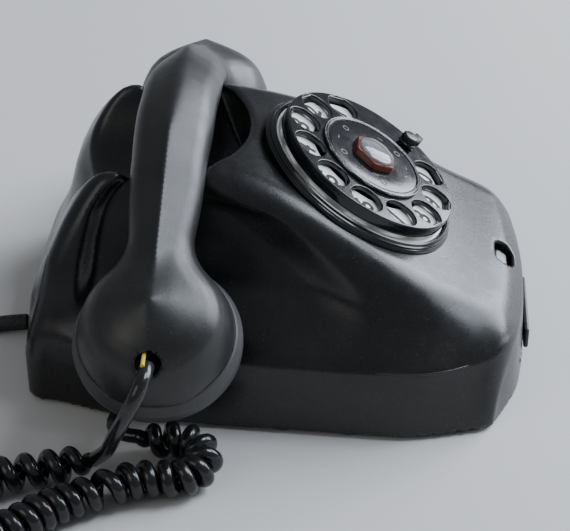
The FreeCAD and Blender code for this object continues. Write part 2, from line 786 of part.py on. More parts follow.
def capsule(label, radius, low, high):
    return turned(label, [("0", low), (radius, low), (radius, "%s + 4" % low), ("%s - 3" % radius, high),
                          ("0", high)])


# ---------------------------------------------------------------- cradle switch
def plunger(label):
    return turned(label, [("0", "plunger_bottom"), ("plunger_radius", "plunger_bottom"),
                          ("plunger_radius", "seat_height - 0.9"),
                          ("plunger_radius - 0.6", "seat_height - 0.3"),
                          ("0", "seat_height - 0.3")])


LEVER_PIN = ("0", "27", "47")


def hook_lever():
    """A bar under both plungers on two arms that turn on a pin."""
    bar = box("lever_bar", ("-cradle_x - 3", "cradle_y - 2.5", "plunger_bottom - 2.3"),
              ("cradle_x + 3", "cradle_y + 2.5", "plunger_bottom - loose_gap"))
    arms = [box("lever_arm_%d" % side, ("18 * %d - 1" % side, "24", "44.5"),
                ("18 * %d + 1" % side, "cradle_y", "plunger_bottom - 2.3")) for side in (-1, 1)]
    hole = rod("lever_bore", "1.5 + run_gap", "60", ("-30", LEVER_PIN[1], LEVER_PIN[2]), Vector(1, 0, 0))
    return cut("hook_lever", fuse("lever_form", [bar] + arms), hole)


def hook_bracket():
    """Two cheeks on the base plate that hold the lever's pin."""
    top = "plate_height + plate_thickness"
    pieces = []
    for side in (-1, 1):
        pieces.append(box("bracket_foot_%d" % side, ("24.5 * %d - 4" % side, "22", top),
                          ("24.5 * %d + 4" % side, "32", top + " + 1.5")))
        pieces.append(box("bracket_cheek_%d" % side, ("21.5 * %d - 1" % side, "23", top + " + 1.5"),
                          ("21.5 * %d + 1" % side, "31", "50")))
    hole = rod("bracket_bore", "1.5 + run_gap", "60", ("-30", LEVER_PIN[1], LEVER_PIN[2]), Vector(1, 0, 0))
    return cut("hook_bracket", fuse("bracket_form", pieces), hole)


def hook_contacts():
    """A stack of leaf springs under one end of the lever, on a post."""
    post = box("switch_post", ("31", "26", "plate_height + plate_thickness"), ("37", "32", "38"))
    block = box("switch_block", ("30", "24", "38"), ("38", "34", "49"))
    leaves = [box("switch_leaf_%d" % i, ("31", "34", "%g" % (42.5 + 3 * i)),
                  ("37", "43.5", "%g" % (43 + 3 * i)))
              for i in range(3)]
    return fuse("hook_contacts", [post, block] + leaves)


# ---------------------------------------------------------------- ringer
def gong(label):
    """A shallow bell with its mouth down, on its own post."""
    return turned(label, [
        ("1.6", "gong_bottom + gong_height - gong_wall"),
        ("gong_radius * 0.55", "gong_bottom + gong_height - gong_wall"),
        ("gong_radius * 0.86", "gong_bottom + gong_height * 0.62"),
        ("gong_radius - gong_wall", "gong_bottom"),
        ("gong_radius", "gong_bottom"), ("gong_radius * 0.93", "gong_bottom + gong_height * 0.68"),
        ("gong_radius * 0.6", "gong_bottom + gong_height"), ("1.6", "gong_bottom + gong_height")])


def gong_post(label):
    return turned(label, [("0", "plate_height + plate_thickness"), ("4", "plate_height + plate_thickness"),
                          ("2.5", "10"), ("2.5", "gong_bottom + gong_height - gong_wall"),
                          ("0", "gong_bottom + gong_height - gong_wall")])


def gong_nut(label):
    return turned(label, [("0", "gong_bottom + gong_height"), ("3.4", "gong_bottom + gong_height"),
                          ("3", "gong_bottom + gong_height + 3"), ("0", "gong_bottom + gong_height + 3.5")])


CLAPPER_PIVOT = Vector(0, 31, 0)


def ringer_frame():
    top = "plate_height + plate_thickness"
    yoke = box("ringer_yoke", ("-16", "14", top), ("16", "23.5", top + " + 2"))
    core = [rod("ringer_core_%d" % side, "2.5", "21", ("10 * %d" % side, "18.5", top + " + 2"))
            for side in (-1, 1)]
    magnet = box("ringer_magnet", ("-4", "14.5", top + " + 2"), ("4", "22.5", "22"))
    return fuse("ringer_frame", [yoke, magnet] + core)


def ringer_coil(label):
    return turned(label, [("2.5", "7.5"), ("6", "7.5"), ("6", "8.5"), ("5.4", "8.5"), ("5.4", "22"),
                          ("6", "22"), ("6", "23"), ("2.5", "23")])


def clapper():
    """An armature, a rod and a striker that swing between the gongs."""
    hub = doc.addObject("Part::Cylinder", "clapper_hub")
    bind(hub, Radius="3.5", Height="4")
    hub.Placement.Base = Vector(0, 31, 24)
    arm = box("clapper_arm", ("-1", "34", "25.2"), ("1", "61", "26.8"))
    armature = box("clapper_armature", ("-15", "28.2", "28"), ("15", "33.8", "29.6"))
    striker = rod("clapper_striker", "2.9", "6", ("0", "63", "23"))
    bore = rod("clapper_bore", "1.5 + run_gap", "20", ("0", "31", "18"))
    return cut("clapper", fuse("clapper_form", [hub, arm, armature, striker]), bore)


def clapper_pin():
    return turned("clapper_pin", [("0", "plate_height + plate_thickness"),
                                  ("3", "plate_height + plate_thickness"),
                                  ("3", "23.7"), ("1.5", "23.7"), ("1.5", "31"), ("0", "31")])


# ---------------------------------------------------------------- electrical parts on the base
def capacitor():
    low = "plate_height + plate_thickness"
    return box("capacitor", ("38", "-30", low), ("58", "12", low + " + 16"))


def induction_coil():
    low = "plate_height + plate_thickness"
    cheeks = [box("coil_cheek_%d" % i, ("-58", "%g" % y, low), ("-38", "%g" % (y + 2), low + " + 20"))
              for i, y in enumerate((-32, 8))]
    winding = rod("coil_winding", "8.5", "38", ("-48", "-30", low + " + 10"), Vector(0, 1, 0))
    core = rod("coil_core", "3", "46", ("-48", "-34", low + " + 10"), Vector(0, 1, 0))
    return fuse("induction_coil", cheeks + [winding, core])


TERMINALS = [Vector(x, y, 0) for y in (-10, 0) for x in (-15, -5, 5, 15)]


def terminal_block():
    low = "plate_height + plate_thickness"
    block = box("terminal_form", ("-21", "-16", low), ("21", "6", low + " + 9"))
    drills = [rod("terminal_drill_%d" % i, "1.6", "8", (str(place.x), str(place.y), low + " + 4"))
              for i, place in enumerate(TERMINALS)]
    return cut("terminal_block", block, fuse("terminal_drills", drills))


def terminal_screw(label):
    return turned(label, [("0", "9.2"), ("1.5", "9.2"), ("1.5", "13.7"), ("3", "13.7"), ("3", "15.4"),
                          ("0", "15.4")])


# ---------------------------------------------------------------- tray and button
def note_tray():
    """A flat slide for a card, with a pull along its front edge."""
    floor = box("tray_floor", ("-tray_half_width", "-93.6", "tray_bottom"),
                ("tray_half_width", "-93.6 + tray_length", "tray_bottom + tray_thickness"))
    card = box("tray_recess", ("-tray_half_width + 3", "-88", "tray_bottom + 1.2"),
               ("tray_half_width - 3", "-93.6 + tray_length - 4", "tray_bottom + 10"))
    pull = box("tray_pull", ("-19", "-97.3", "3.4"), ("19", "-95.3", "12.4"))
    neck = box("tray_neck", ("-17", "-95.4", "tray_bottom"), ("17", "-93.5", "tray_bottom + tray_thickness"))
    return fuse("note_tray", [cut("tray_plate", floor, card), neck, pull])


def tray_rails():
    """Two channels on the base plate that guide the tray."""
    low = "plate_height + plate_thickness"
    pieces = []
    for side in (-1, 1):
        outer = "(tray_half_width + 2.5) * %d" % side
        inner = "(tray_half_width - 2) * %d" % side
        corners = [(outer, low), (inner, low), (inner, "tray_bottom - loose_gap"),
                   ("(tray_half_width + loose_gap) * %d" % side, "tray_bottom - loose_gap"),
                   ("(tray_half_width + loose_gap) * %d" % side, "tray_bottom + tray_thickness + loose_gap"),
                   (inner, "tray_bottom + tray_thickness + loose_gap"),
                   (inner, "tray_bottom + tray_thickness + 1.6"),
                   (outer, "tray_bottom + tray_thickness + 1.6")]
        rail = prism("tray_rail_%d" % (side + 2), corners, "60", "XZ_Plane")
        rail.Placement.Base = Vector(0, -24, 0)
        pieces.append(rail)
    return group("tray_rails", pieces)


def front_button():
    """A key that goes in through the front, with a collar behind the wall that stops it."""
    key = button_block("button_key", "0", "-6", "0.4")
    collar = button_block("button_collar", "1.2", "-7.5", "-6")
    return fuse("front_button", [key, collar])


def button_contacts():
    """Leaf springs behind the button on a post from the base plate."""
    post = box("button_post", ("-4", "-76.5", "plate_height + plate_thickness + 6.5"), ("4", "-72", "20"))
    leaves = [box("button_leaf_%d" % i, ("-2.5", "%g" % (-81.5 + i), "%g" % (17 + 2 * i)),
                  ("2.5", "-74", "%g" % (17.5 + 2 * i))) for i in range(2)]
    return fuse("button_contacts", [post] + leaves)


# ---------------------------------------------------------------- cords
def rounded_route(corners):
    """Straight runs joined by tangent arcs, each as large as its two runs allow."""
    points = [Vector(*corner) for corner in corners]
    edges, radii = [], []
    start = points[0]
    for before, corner, after in zip(points, points[1:], points[2:]):
        back, ahead = (before - corner), (after - corner)
        half_turn = (math.pi - back.getAngle(ahead)) / 2
        reach = 0.45 * min(back.Length, ahead.Length)
        radius = reach / math.tan(half_turn)
        back.normalize()
        ahead.normalize()
        arc_start, arc_end = corner + back * reach, corner + ahead * reach
        middle = (back + ahead).normalize()
        centre = corner + middle * (radius / math.cos(half_turn))
        edges.append(Part.LineSegment(start, arc_start).toShape())
        edges.append(Part.Arc(arc_start, centre - middle * radius, arc_end).toShape())
        radii.append(radius)
        start = arc_end
    edges.append(Part.LineSegment(start, points[-1]).toShape())
    return Part.Wire(edges), radii


def tube(label, corners, diameter):
    """A cord's stretch: one round section carried along its route."""
    path, radii = rounded_route(corners)
    heading = Vector(*corners[1]) - Vector(*corners[0])
    radius = value(diameter) / 2
    section = Part.Wire(Part.makeCircle(radius, Vector(*corners[0]), heading))
    solid = path.makePipeShell([section], True, True)
    expected = math.pi * radius * radius * path.Length
    print("%s: length %.1f, volume ratio %.4f, arc radii %s"
          % (label, path.Length, solid.Volume / expected, ", ".join("%.0f" % r for r in radii)))
    return made(label, solid)


HANDSET_TAIL = [(-113.4, 40.1, 58.4), (-119.8, 40.0, 59.4), (-125.0, 42.6, 54.2), (-125.0, 46.8, 45.0),
                (-121.6, 50.4, 36.2), (-117.0, 53.5, 27.5), (-112.0, 56.0, 19.5), (-107.0, 58.0, 14.0)]
CURL_ROUTE = [(-103.5, 63.0, 8.0), (-107.5, 73.0, 8.0), (-110.5, 84.0, 8.0), (-114.0, 95.0, 8.0),
              (-120.5, 105.5, 8.0), (-131.0, 111.0, 8.0), (-142.0, 106.5, 8.0), (-146.0, 95.5, 8.0),
              (-140.5, 85.0, 8.0), (-132.0, 77.0, 8.0), (-125.5, 68.0, 8.0), (-120.0, 58.5, 8.0),
              (-114.5, 49.5, 8.0), (-112.0, 39.5, 8.0), (-112.0, 30.0, 8.0), (-105.5, 23.4, 8.0),
              (-96.5, 23.4, 8.0), (-90.0, 30.0, 8.0), (-90.0, 39.5, 8.0), (-89.0, 48.5, 8.0)]
CURL_LEAD = [(-88.5, 53.0, 8.0), (-86.5, 57.5, 8.4), (-81.5, 59.0, 9.0), (-76.0, 57.0, 9.0)]
LINE_ROUTE = [(-16.0, 103.0, 5.2), (-16.2, 110.0, 4.6), (-17.4, 119.0, 3.6), (-20.6, 132.0, 3.4),
              (-23.6, 145.0, 3.6), (-24.6, 152.0, 3.8)]


def line_cord_coil():
    """The outer form of the put-away length, wound flat on the table."""
    ring = turned("line_cord_coil", [("coil_radius - coil_band", "0.4"), ("coil_radius + coil_band", "0.4"),
                                     ("coil_radius + coil_band", "coil_height + 0.4"),
                                     ("coil_radius - coil_band", "coil_height + 0.4")])
    ring.Placement.Base = Vector(value("coil_x"), value("coil_y"), 0)
    return ring


def line_gland():
    """A collar round the line cord, set in the rear wall."""
    return turned("line_gland", [("line_diameter / 2 + 0.1", "-1.8"), ("4.1", "-1.8"), ("4.1", "2.0"),
                                 ("4.9", "2.0"), ("4.4", "7"), ("line_diameter / 2 + 0.1", "7")])


def lead_gland():
    """A collar round the handset cord, set in the left wall."""
    return turned("lead_gland", [("cord_diameter / 2 + 0.1", "-4"), ("3.5", "-4"), ("3.5", "1.8"),
                                 ("4.6", "1.8"), ("4.2", "7"), ("cord_diameter / 2 + 0.1", "7")])


def plug_pin(label):
    """A straight pin with a chamfered tip, standing on the plug's face."""
    return turned(label, [("0", "0"), ("2", "0"), ("2", "18"), ("1.2", "19"), ("0", "19")])


PLUG = Placement(Vector(-88, 176, 14), Rotation(Vector(0, 0, 1), Vector(1, 0.1, 0)))
LINE_END = [(-58.0, 179.0, 14.0), (-50.0, 179.8, 13.2), (-42.0, 180.6, 9.0), (-34.6, 181.0, 7.4)]


def line_plug():
    """A round moulded plug that lies on its side, with a collar where the cord goes in."""
    return turned("line_plug", [("0", "0"), ("13.4", "0"), ("13.4", "10"), ("12", "12"), ("8", "22"),
                                ("5.5", "30"), ("0", "30")])


node(handset_body())
node(perforated_cap("mouthpiece_cap", [(4, 6), (9, 12)]), cap_place(-1))
node(perforated_cap("earpiece_cap", [(3.5, 6)]), cap_place(1))
node(capsule("microphone_capsule", "23", "2.8", "16"), cap_place(-1))
node(capsule("receiver_capsule", "23", "2.8", "18"), cap_place(1))
for side, word in ((-1, "left"), (1, "right")):
    node(plunger("plunger_" + word),
         Placement(Vector(side * value("cradle_x"), value("cradle_y"), 0), Rotation()))
node(hook_lever())
node(hook_bracket())
node(rod("lever_pin", "1.5", "46", ("-23", LEVER_PIN[1], LEVER_PIN[2]), Vector(1, 0, 0)))
node(hook_contacts())
GONGS = [Vector(side * value("gong_x"), value("gong_y"), 0) for side in (-1, 1)]
for word, place in zip(("left", "right"), GONGS):
    node(gong("gong_" + word), Placement(place, Rotation()))
node(group("gong_posts", copies("gong_post", gong_post, GONGS)))
node(group("gong_nuts", copies("gong_nut", gong_nut, GONGS)))
node(ringer_frame())
node(group("ringer_coils", copies("ringer_coil", ringer_coil, [Vector(-10, 18.5, 0), Vector(10, 18.5, 0)])))
node(clapper())
node(clapper_pin(), Placement(CLAPPER_PIVOT, Rotation()))
node(capacitor())
node(induction_coil())
node(terminal_block())
node(group("terminal_screws", copies("terminal_screw", terminal_screw, TERMINALS)))
node(note_tray())
node(tray_rails())
node(front_button())
node(button_contacts())
node(line_gland(), Placement(Vector(value("line_x"), 95.2, value("line_height")),
                             Rotation(Vector(0, 0, 1), Vector(0, 1, 0))))
node(lead_gland(), Placement(Vector(-69, value("lead_y"), 9), Rotation(Vector(0, 0, 1), Vector(-1, 0, 0))))
node(tube("handset_cord_tail", HANDSET_TAIL, "cord_diameter"))
node(tube("handset_cord_curl", CURL_ROUTE, "curl_diameter"))
node(tube("handset_cord_lead", CURL_LEAD, "cord_diameter"))
node(tube("line_cord", LINE_ROUTE, "line_diameter"))
node(line_cord_coil())
node(tube("line_cord_end", LINE_END, "line_diameter"))
node(line_plug(), PLUG)
node(group("plug_pins", copies("plug_pin", plug_pin, [Vector(-6, 0, 0), Vector(6, 0, 0)])))
nodes[-1].Placement = PLUG.multiply(Placement(Vector(0, 0, 0), Rotation(Vector(1, 0, 0), 180)))


# ---------------------------------------------------------------- checks and files
doc.recompute()
for feature in doc.Objects:
    if "Invalid" in feature.State or "Error" in feature.State:
        raise RuntimeError("%s did not compute" % feature.Label)
for feature in nodes:
    shape = feature.Shape
    if shape.isNull() or not shape.isValid() or not shape.Solids:
        raise RuntimeError("%s has no valid solid" % feature.Label)
os.makedirs("parts", exist_ok=True)
for feature in nodes:
    feature.Shape.exportStep("parts/%s.step" % feature.Label)
print("%d pieces written" % len(nodes))
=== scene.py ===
"""Looks of a black rotary desk telephone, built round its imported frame. Lengths are in millimetres
until they go into a mesh; +X is the user's right, +Y the rear, +Z up."""
import json
import math
import random

import bmesh
import bpy
import numpy as np
from mathutils import Matrix, Vector


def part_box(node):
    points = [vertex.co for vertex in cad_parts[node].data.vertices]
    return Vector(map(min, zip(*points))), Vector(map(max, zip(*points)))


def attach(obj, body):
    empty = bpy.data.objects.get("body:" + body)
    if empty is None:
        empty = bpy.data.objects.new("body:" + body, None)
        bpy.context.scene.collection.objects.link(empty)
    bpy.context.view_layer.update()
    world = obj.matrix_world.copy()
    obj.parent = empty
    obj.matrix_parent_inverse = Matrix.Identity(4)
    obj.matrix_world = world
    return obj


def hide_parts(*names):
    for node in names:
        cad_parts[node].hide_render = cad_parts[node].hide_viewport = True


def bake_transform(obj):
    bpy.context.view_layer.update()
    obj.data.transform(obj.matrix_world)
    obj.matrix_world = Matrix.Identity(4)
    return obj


MM = 0.001
random.seed(4)
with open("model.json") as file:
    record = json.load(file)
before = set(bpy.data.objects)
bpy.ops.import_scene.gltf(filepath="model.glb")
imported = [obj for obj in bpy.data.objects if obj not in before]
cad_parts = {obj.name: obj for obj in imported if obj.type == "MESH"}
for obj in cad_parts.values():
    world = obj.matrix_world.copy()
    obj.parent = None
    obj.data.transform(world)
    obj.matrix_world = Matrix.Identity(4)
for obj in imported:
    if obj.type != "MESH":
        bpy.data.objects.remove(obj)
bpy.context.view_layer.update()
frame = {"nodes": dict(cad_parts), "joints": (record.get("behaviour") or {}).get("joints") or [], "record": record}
JOINTS = {joint["name"]: joint for joint in frame["joints"]}


def placed(name, data):
    """A new object that holds this data, put into the scene."""
    made = bpy.data.objects.new(name, data)
    bpy.context.scene.collection.objects.link(made)
    return made


# ---------------------------------------------------------------- camera
CAMERA_PLACE = Vector((-598.3, -37.3, 425.7))
CAMERA_PITCH = math.radians(33.69)
CAMERA_YAW = math.radians(3.59)


def make_camera():
    """The camera that the photo was taken with, as far as it could be worked out."""
    data = bpy.data.cameras.new("camera")
    data.lens = 113.68
    data.sensor_width = 36
    data.clip_start = 0.01
    camera = placed("camera", data)
    ahead = Vector((math.cos(CAMERA_YAW) * math.cos(CAMERA_PITCH),
                    math.sin(CAMERA_YAW) * math.cos(CAMERA_PITCH), -math.sin(CAMERA_PITCH)))
    camera.location = CAMERA_PLACE * MM
    camera.rotation_mode = "QUATERNION"
    camera.rotation_quaternion = ahead.to_track_quat("-Z", "Y")
    bpy.context.scene.camera = camera


make_camera()


# ---------------------------------------------------------------- materials
class Nodes:
    """A small helper for building one material's nodes."""

    def __init__(self, name):
        self.material = bpy.data.materials.new(name)
        self.material.use_nodes = True
        self.tree = self.material.node_tree
        self.shader = self.tree.nodes["Principled BSDF"]
        self.where = self.add("ShaderNodeTexCoord").outputs["Object"]

    def add(self, kind, **settings):
        made = self.tree.nodes.new(kind)
        for key, setting in settings.items():
            if key in made.inputs:
                made.inputs[key].default_value = setting
            else:
                setattr(made, key, setting)
        return made

    def link(self, source, target):
        self.tree.links.new(source, target)

    def noise(self, per_mm, detail=4.0, roughness=0.6):
        """Noise with that many features in a millimetre."""
        made = self.add("ShaderNodeTexNoise", Scale=per_mm * 1000, Detail=detail, Roughness=roughness)
        self.link(self.where, made.inputs["Vector"])
        return made.outputs["Fac"]

    def ramp(self, source, stops):
        made = self.add("ShaderNodeValToRGB")
        elements = made.color_ramp.elements
        while len(elements) < len(stops):
            elements.new(0.5)
        for element, (place, tone) in zip(elements, stops):
            element.position = place
            element.color = (*tone, 1) if isinstance(tone, tuple) else (tone, tone, tone, 1)
        self.link(source, made.inputs["Fac"])
        return made.outputs["Color"]

    def mix(self, factor, first, second):
        made = self.add("ShaderNodeMix", data_type="RGBA")
        self.link(factor, made.inputs[0])
        for socket, entry in ((made.inputs[6], first), (made.inputs[7], second)):
            if isinstance(entry, tuple):
                socket.default_value = (*entry, 1)
            else:
                self.link(entry, socket)
        return made.outputs[2]

    def bump(self, source, height_mm, strength=1.0):
        made = self.add("ShaderNodeBump", Strength=strength, Distance=height_mm * MM)
        self.link(source, made.inputs["Height"])
        if self.shader.inputs["Normal"].links:
            self.link(self.shader.inputs["Normal"].links[0].from_socket, made.inputs["Normal"])
        self.link(made.outputs["Normal"], self.shader.inputs["Normal"])

    def set(self, **values):
        for key, amount in values.items():
            self.shader.inputs[key.replace("_", " ")].default_value = amount

    def edges(self, low, high):
        """Bright where the surface turns outward sharply."""
        geometry = self.add("ShaderNodeNewGeometry")
        return self.ramp(geometry.outputs["Pointiness"], [(low, 0.0), (high, 1.0)])


def moulded(name, dark, light, rough_low, rough_high, grain_per_mm, dust, wear):
    """Black moulded plastic: mottled tone, uneven gloss, fine grain, specks of dust and rubbed edges."""
    nodes = Nodes(name)
    mottle = nodes.ramp(nodes.noise(0.05, 6), [(0.35, 0.0), (0.7, 1.0)])
    tone = nodes.mix(mottle, dark, light)
    specks = nodes.ramp(nodes.noise(1.6, 2, 0.8), [(0.66, 0.0), (0.74, dust)])
    tone = nodes.mix(specks, tone, (0.42, 0.41, 0.39))
    rubbed = nodes.edges(0.53, 0.62)
    share = nodes.add("ShaderNodeMath", operation="MULTIPLY")
    nodes.link(rubbed, share.inputs[0])
    share.inputs[1].default_value = wear
    tone = nodes.mix(share.outputs[0], tone, (0.16, 0.155, 0.15))
    nodes.link(tone, nodes.shader.inputs["Base Color"])
    gloss = nodes.ramp(nodes.noise(0.12, 8, 0.7), [(0.3, rough_low), (0.75, rough_high)])
    nodes.link(gloss, nodes.shader.inputs["Roughness"])
    nodes.bump(nodes.noise(grain_per_mm, 3), 0.05, 0.7)
    nodes.bump(nodes.noise(0.25, 4), 0.12, 0.25)
    return nodes


def metal(name, tone, roughness, streak=0.08):
    """Turned or drawn metal with fine streaks and faint stains."""
    nodes = Nodes(name)
    stain = nodes.ramp(nodes.noise(0.08, 5), [(0.3, 0.0), (0.8, 1.0)])
    darker = tuple(part * 0.72 for part in tone)
    nodes.link(nodes.mix(stain, tone, darker), nodes.shader.inputs["Base Color"])
    gloss = nodes.ramp(nodes.noise(1.2, 6), [(0.2, roughness), (0.9, roughness + 0.18)])
    nodes.link(gloss, nodes.shader.inputs["Roughness"])
    nodes.set(Metallic=1.0)
    nodes.bump(nodes.noise(3.0, 2), 0.02, streak)
    return nodes


def enamel(name, tone, roughness, chips):
    """Smooth enamel paint with slight ripple and small chips."""
    nodes = Nodes(name)
    chipped = nodes.ramp(nodes.noise(0.9, 3, 0.7), [(0.70, 0.0), (0.76, chips)])
    darker = tuple(part * 0.5 + 0.01 for part in tone)
    nodes.link(nodes.mix(chipped, tone, darker), nodes.shader.inputs["Base Color"])
    gloss = nodes.ramp(nodes.noise(0.3, 6), [(0.3, roughness), (0.8, roughness + 0.08)])
    nodes.link(gloss, nodes.shader.inputs["Roughness"])
    nodes.bump(nodes.noise(0.6, 3), 0.03, 0.2)
    return nodes


def braid(name, per_mm):
    """A woven black jacket: crossing threads."""
    nodes = Nodes(name)
    cells = nodes.add("ShaderNodeTexVoronoi", Scale=per_mm * 1000)
    nodes.link(nodes.where, cells.inputs["Vector"])
    threads = nodes.ramp(cells.outputs["Distance"], [(0.1, 1.0), (0.7, 0.0)])
    weave = nodes.mix(threads, (0.006, 0.006, 0.007), (0.035, 0.035, 0.038))
    nodes.link(weave, nodes.shader.inputs["Base Color"])
    nodes.set(Roughness=0.62)
    nodes.bump(threads, 0.25, 0.8)
    return nodes


def see_through(name, tone, roughness, share):
    """Clear moulded plastic with faint scratches."""
    nodes = Nodes(name)
    marks = nodes.ramp(nodes.noise(0.7, 6, 0.75), [(0.4, roughness), (0.9, roughness + 0.15)])
    nodes.link(marks, nodes.shader.inputs["Roughness"])
    nodes.link(nodes.mix(nodes.noise(0.2, 3), tone, tuple(part * 0.8 for part in tone)),
               nodes.shader.inputs["Base Color"])
    nodes.set(Transmission_Weight=share, IOR=1.49)
    return nodes


# Each entry: dark tone, light tone, lowest and highest roughness, grain per mm, dust, wear.
MOULDED = {
    "bakelite": ((0.005, 0.005, 0.0055), (0.011, 0.0108, 0.0106), 0.22, 0.36, 1.3, 0.22, 0.35),
    "handset_black": ((0.009, 0.0092, 0.009), (0.018, 0.0178, 0.0172), 0.33, 0.46, 1.6, 0.18, 0.35),
    "cap_rim": ((0.030, 0.030, 0.031), (0.052, 0.051, 0.050), 0.46, 0.62, 1.8, 0.2, 0.3),
    "rubber": ((0.012, 0.012, 0.012), (0.022, 0.022, 0.022), 0.6, 0.8, 1.0, 0.3, 0.1),
    "stop_black": ((0.006, 0.006, 0.006), (0.012, 0.012, 0.012), 0.18, 0.34, 1.2, 0.3, 0.6),
    "inner_card": ((0.20, 0.11, 0.05), (0.30, 0.18, 0.09), 0.5, 0.7, 0.8, 0.1, 0.1),
    "winding": ((0.35, 0.15, 0.06), (0.48, 0.22, 0.09), 0.35, 0.6, 0.9, 0.1, 0.1),
    "tray_black": ((0.010, 0.010, 0.010), (0.018, 0.018, 0.018), 0.3, 0.5, 1.3, 0.3, 0.5),
    "curl_plastic": ((0.006, 0.006, 0.007), (0.011, 0.011, 0.012), 0.13, 0.27, 0.8, 0.25, 0.1),
    "plug_black": ((0.008, 0.008, 0.008), (0.014, 0.014, 0.014), 0.25, 0.4, 1.2, 0.2, 0.4),
}
# Each entry: tone, roughness.
METALS = {
    "bright_steel": ((0.58, 0.58, 0.60), 0.22),
    "dull_steel": ((0.36, 0.36, 0.37), 0.2),
    "faint_steel": ((0.10, 0.10, 0.105), 0.3),
    "plated_brass": ((0.72, 0.52, 0.24), 0.24),
    "bell_steel": ((0.70, 0.70, 0.72), 0.16),
}
# Each entry: tone, roughness, chips.
ENAMELS = {
    "wheel_black": ((0.005, 0.005, 0.006), 0.09, 0.4),
    "dial_white": ((0.78, 0.78, 0.74), 0.2, 0.25),
    "bezel_black": ((0.004, 0.004, 0.0045), 0.12, 0.5),
    "figure_ink": ((0.006, 0.006, 0.006), 0.7, 0.1),
    "wire_yellow": ((0.75, 0.62, 0.05), 0.35, 0.1),
}
# Each entry: tone, roughness, share of light let through.
CLEAR = {
    "amber": ((0.17, 0.028, 0.012), 0.14, 0.30),
    "clear": ((0.92, 0.94, 0.95), 0.04, 0.85),
}
MATERIALS = {"cord_black": braid("cord_black", 1.1)}
for recipe, table in ((moulded, MOULDED), (metal, METALS), (enamel, ENAMELS), (see_through, CLEAR)):
    for name, look in table.items():
        MATERIALS[name] = recipe(name, *look)


def paint(piece, material):
    piece.data.materials.clear()
    piece.data.materials.append(MATERIALS[material].material)


# ---------------------------------------------------------------- pieces
def piece_from(name, points, faces, smooth=True):
    """A mesh object from points in millimetres."""
    mesh = bpy.data.meshes.new(name)
    mesh.from_pydata([tuple(part * MM for part in point) for point in points], [], faces)
    mesh.validate()
    mesh.update()
    if smooth:
        mesh.shade_smooth()
    return placed(name, mesh)


def finish_piece(piece, body, slot, material=None, stands_for=()):
    """Give a piece its look (its material, or the slot's material when none is given), its body, and hide the
    nodes that it replaces.
    """
    paint(piece, material or slot)
    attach(piece, body)
    if stands_for:
        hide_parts(*stands_for)
    return piece


def carried(piece):
    """The piece's mesh as it is shown, with its modifiers or curve turned into plain faces."""
    graph = bpy.context.evaluated_depsgraph_get()
    return bpy.data.meshes.new_from_object(piece.evaluated_get(graph))


def as_mesh(piece):
    """Replace a curve, a text or a piece with modifiers by its plain mesh under the same name."""
    mesh = carried(piece)
    name, place = piece.name, piece.matrix_world.copy()
    bpy.data.objects.remove(piece)
    made = placed(name, mesh)
    made.matrix_world = place
    return made


def joined(name, parts):
    """Several mesh objects as one."""
    sheet = bmesh.new()
    for part in parts:
        part.data.transform(part.matrix_world)
        sheet.from_mesh(part.data)
        bpy.data.objects.remove(part)
    mesh = bpy.data.meshes.new(name)
    sheet.to_mesh(mesh)
    sheet.free()
    mesh.shade_smooth()
    return placed(name, mesh)


def softened(profile, reach):
    """The profile with its inner corners rounded over that reach."""
    out = [profile[0]]
    for before, corner, after in zip(profile, profile[1:], profile[2:]):
        before, corner, after = Vector(before), Vector(corner), Vector(after)
        back, ahead = before - corner, after - corner
        near = min(reach, 0.45 * back.length, 0.45 * ahead.length)
        start, end = corner + back.normalized() * near, corner + ahead.normalized() * near
        for step in range(5):
            share = step / 4
            out.append(tuple(start.lerp(corner, share).lerp(corner.lerp(end, share), share)))
    out.append(profile[-1])
    return out


def turned(name, profile, place=Matrix.Identity(4), reach=0.4, sides=144, ridge=None):
    """A form turned about its own Z axis from (radius, height) corners, closed if the profile is."""
    outline = softened(profile, reach)
    points, faces = [], []
    for step in range(sides):
        turn = 2 * math.pi * step / sides
        for radius, height in outline:
            swell = ridge(turn, height) if ridge else 0.0
            grown = radius + swell if radius > 0.01 else 0.0
            points.append(place @ Vector((grown * math.cos(turn), grown * math.sin(turn), height)))
    count = len(outline)
    for step in range(sides):
        ahead = (step + 1) % sides
        for row in range(count - 1):
            near, far = step * count + row, ahead * count + row
            faces.append((near, far, far + 1, near + 1))
    made = piece_from(name, points, faces)
    sheet = bmesh.new()
    sheet.from_mesh(made.data)
    bmesh.ops.remove_doubles(sheet, verts=sheet.verts, dist=0.002 * MM)
    bmesh.ops.dissolve_degenerate(sheet, edges=sheet.edges, dist=0.001 * MM)
    bmesh.ops.recalc_face_normals(sheet, faces=sheet.faces)
    sheet.to_mesh(made.data)
    sheet.free()
    made.data.shade_smooth()
    return made


def block(name, low, high, place=Matrix.Identity(4), bevel=0.8, steps=3):
    """A box with rounded edges."""
    sheet = bmesh.new()
    bmesh.ops.create_cube(sheet, size=1)
    size = Vector(high) - Vector(low)
    middle = (Vector(high) + Vector(low)) / 2
    sized = Matrix.Translation(middle) @ Matrix.Diagonal((*size, 1))
    bmesh.ops.transform(sheet, matrix=sized, verts=sheet.verts)
    bmesh.ops.bevel(sheet, geom=sheet.edges, offset=bevel, segments=steps, profile=0.5, affect="EDGES")
    bmesh.ops.transform(sheet, matrix=Matrix.Scale(MM, 4) @ place, verts=sheet.verts)
    mesh = bpy.data.meshes.new(name)
    sheet.to_mesh(mesh)
    sheet.free()
    mesh.shade_smooth()
    return placed(name, mesh)


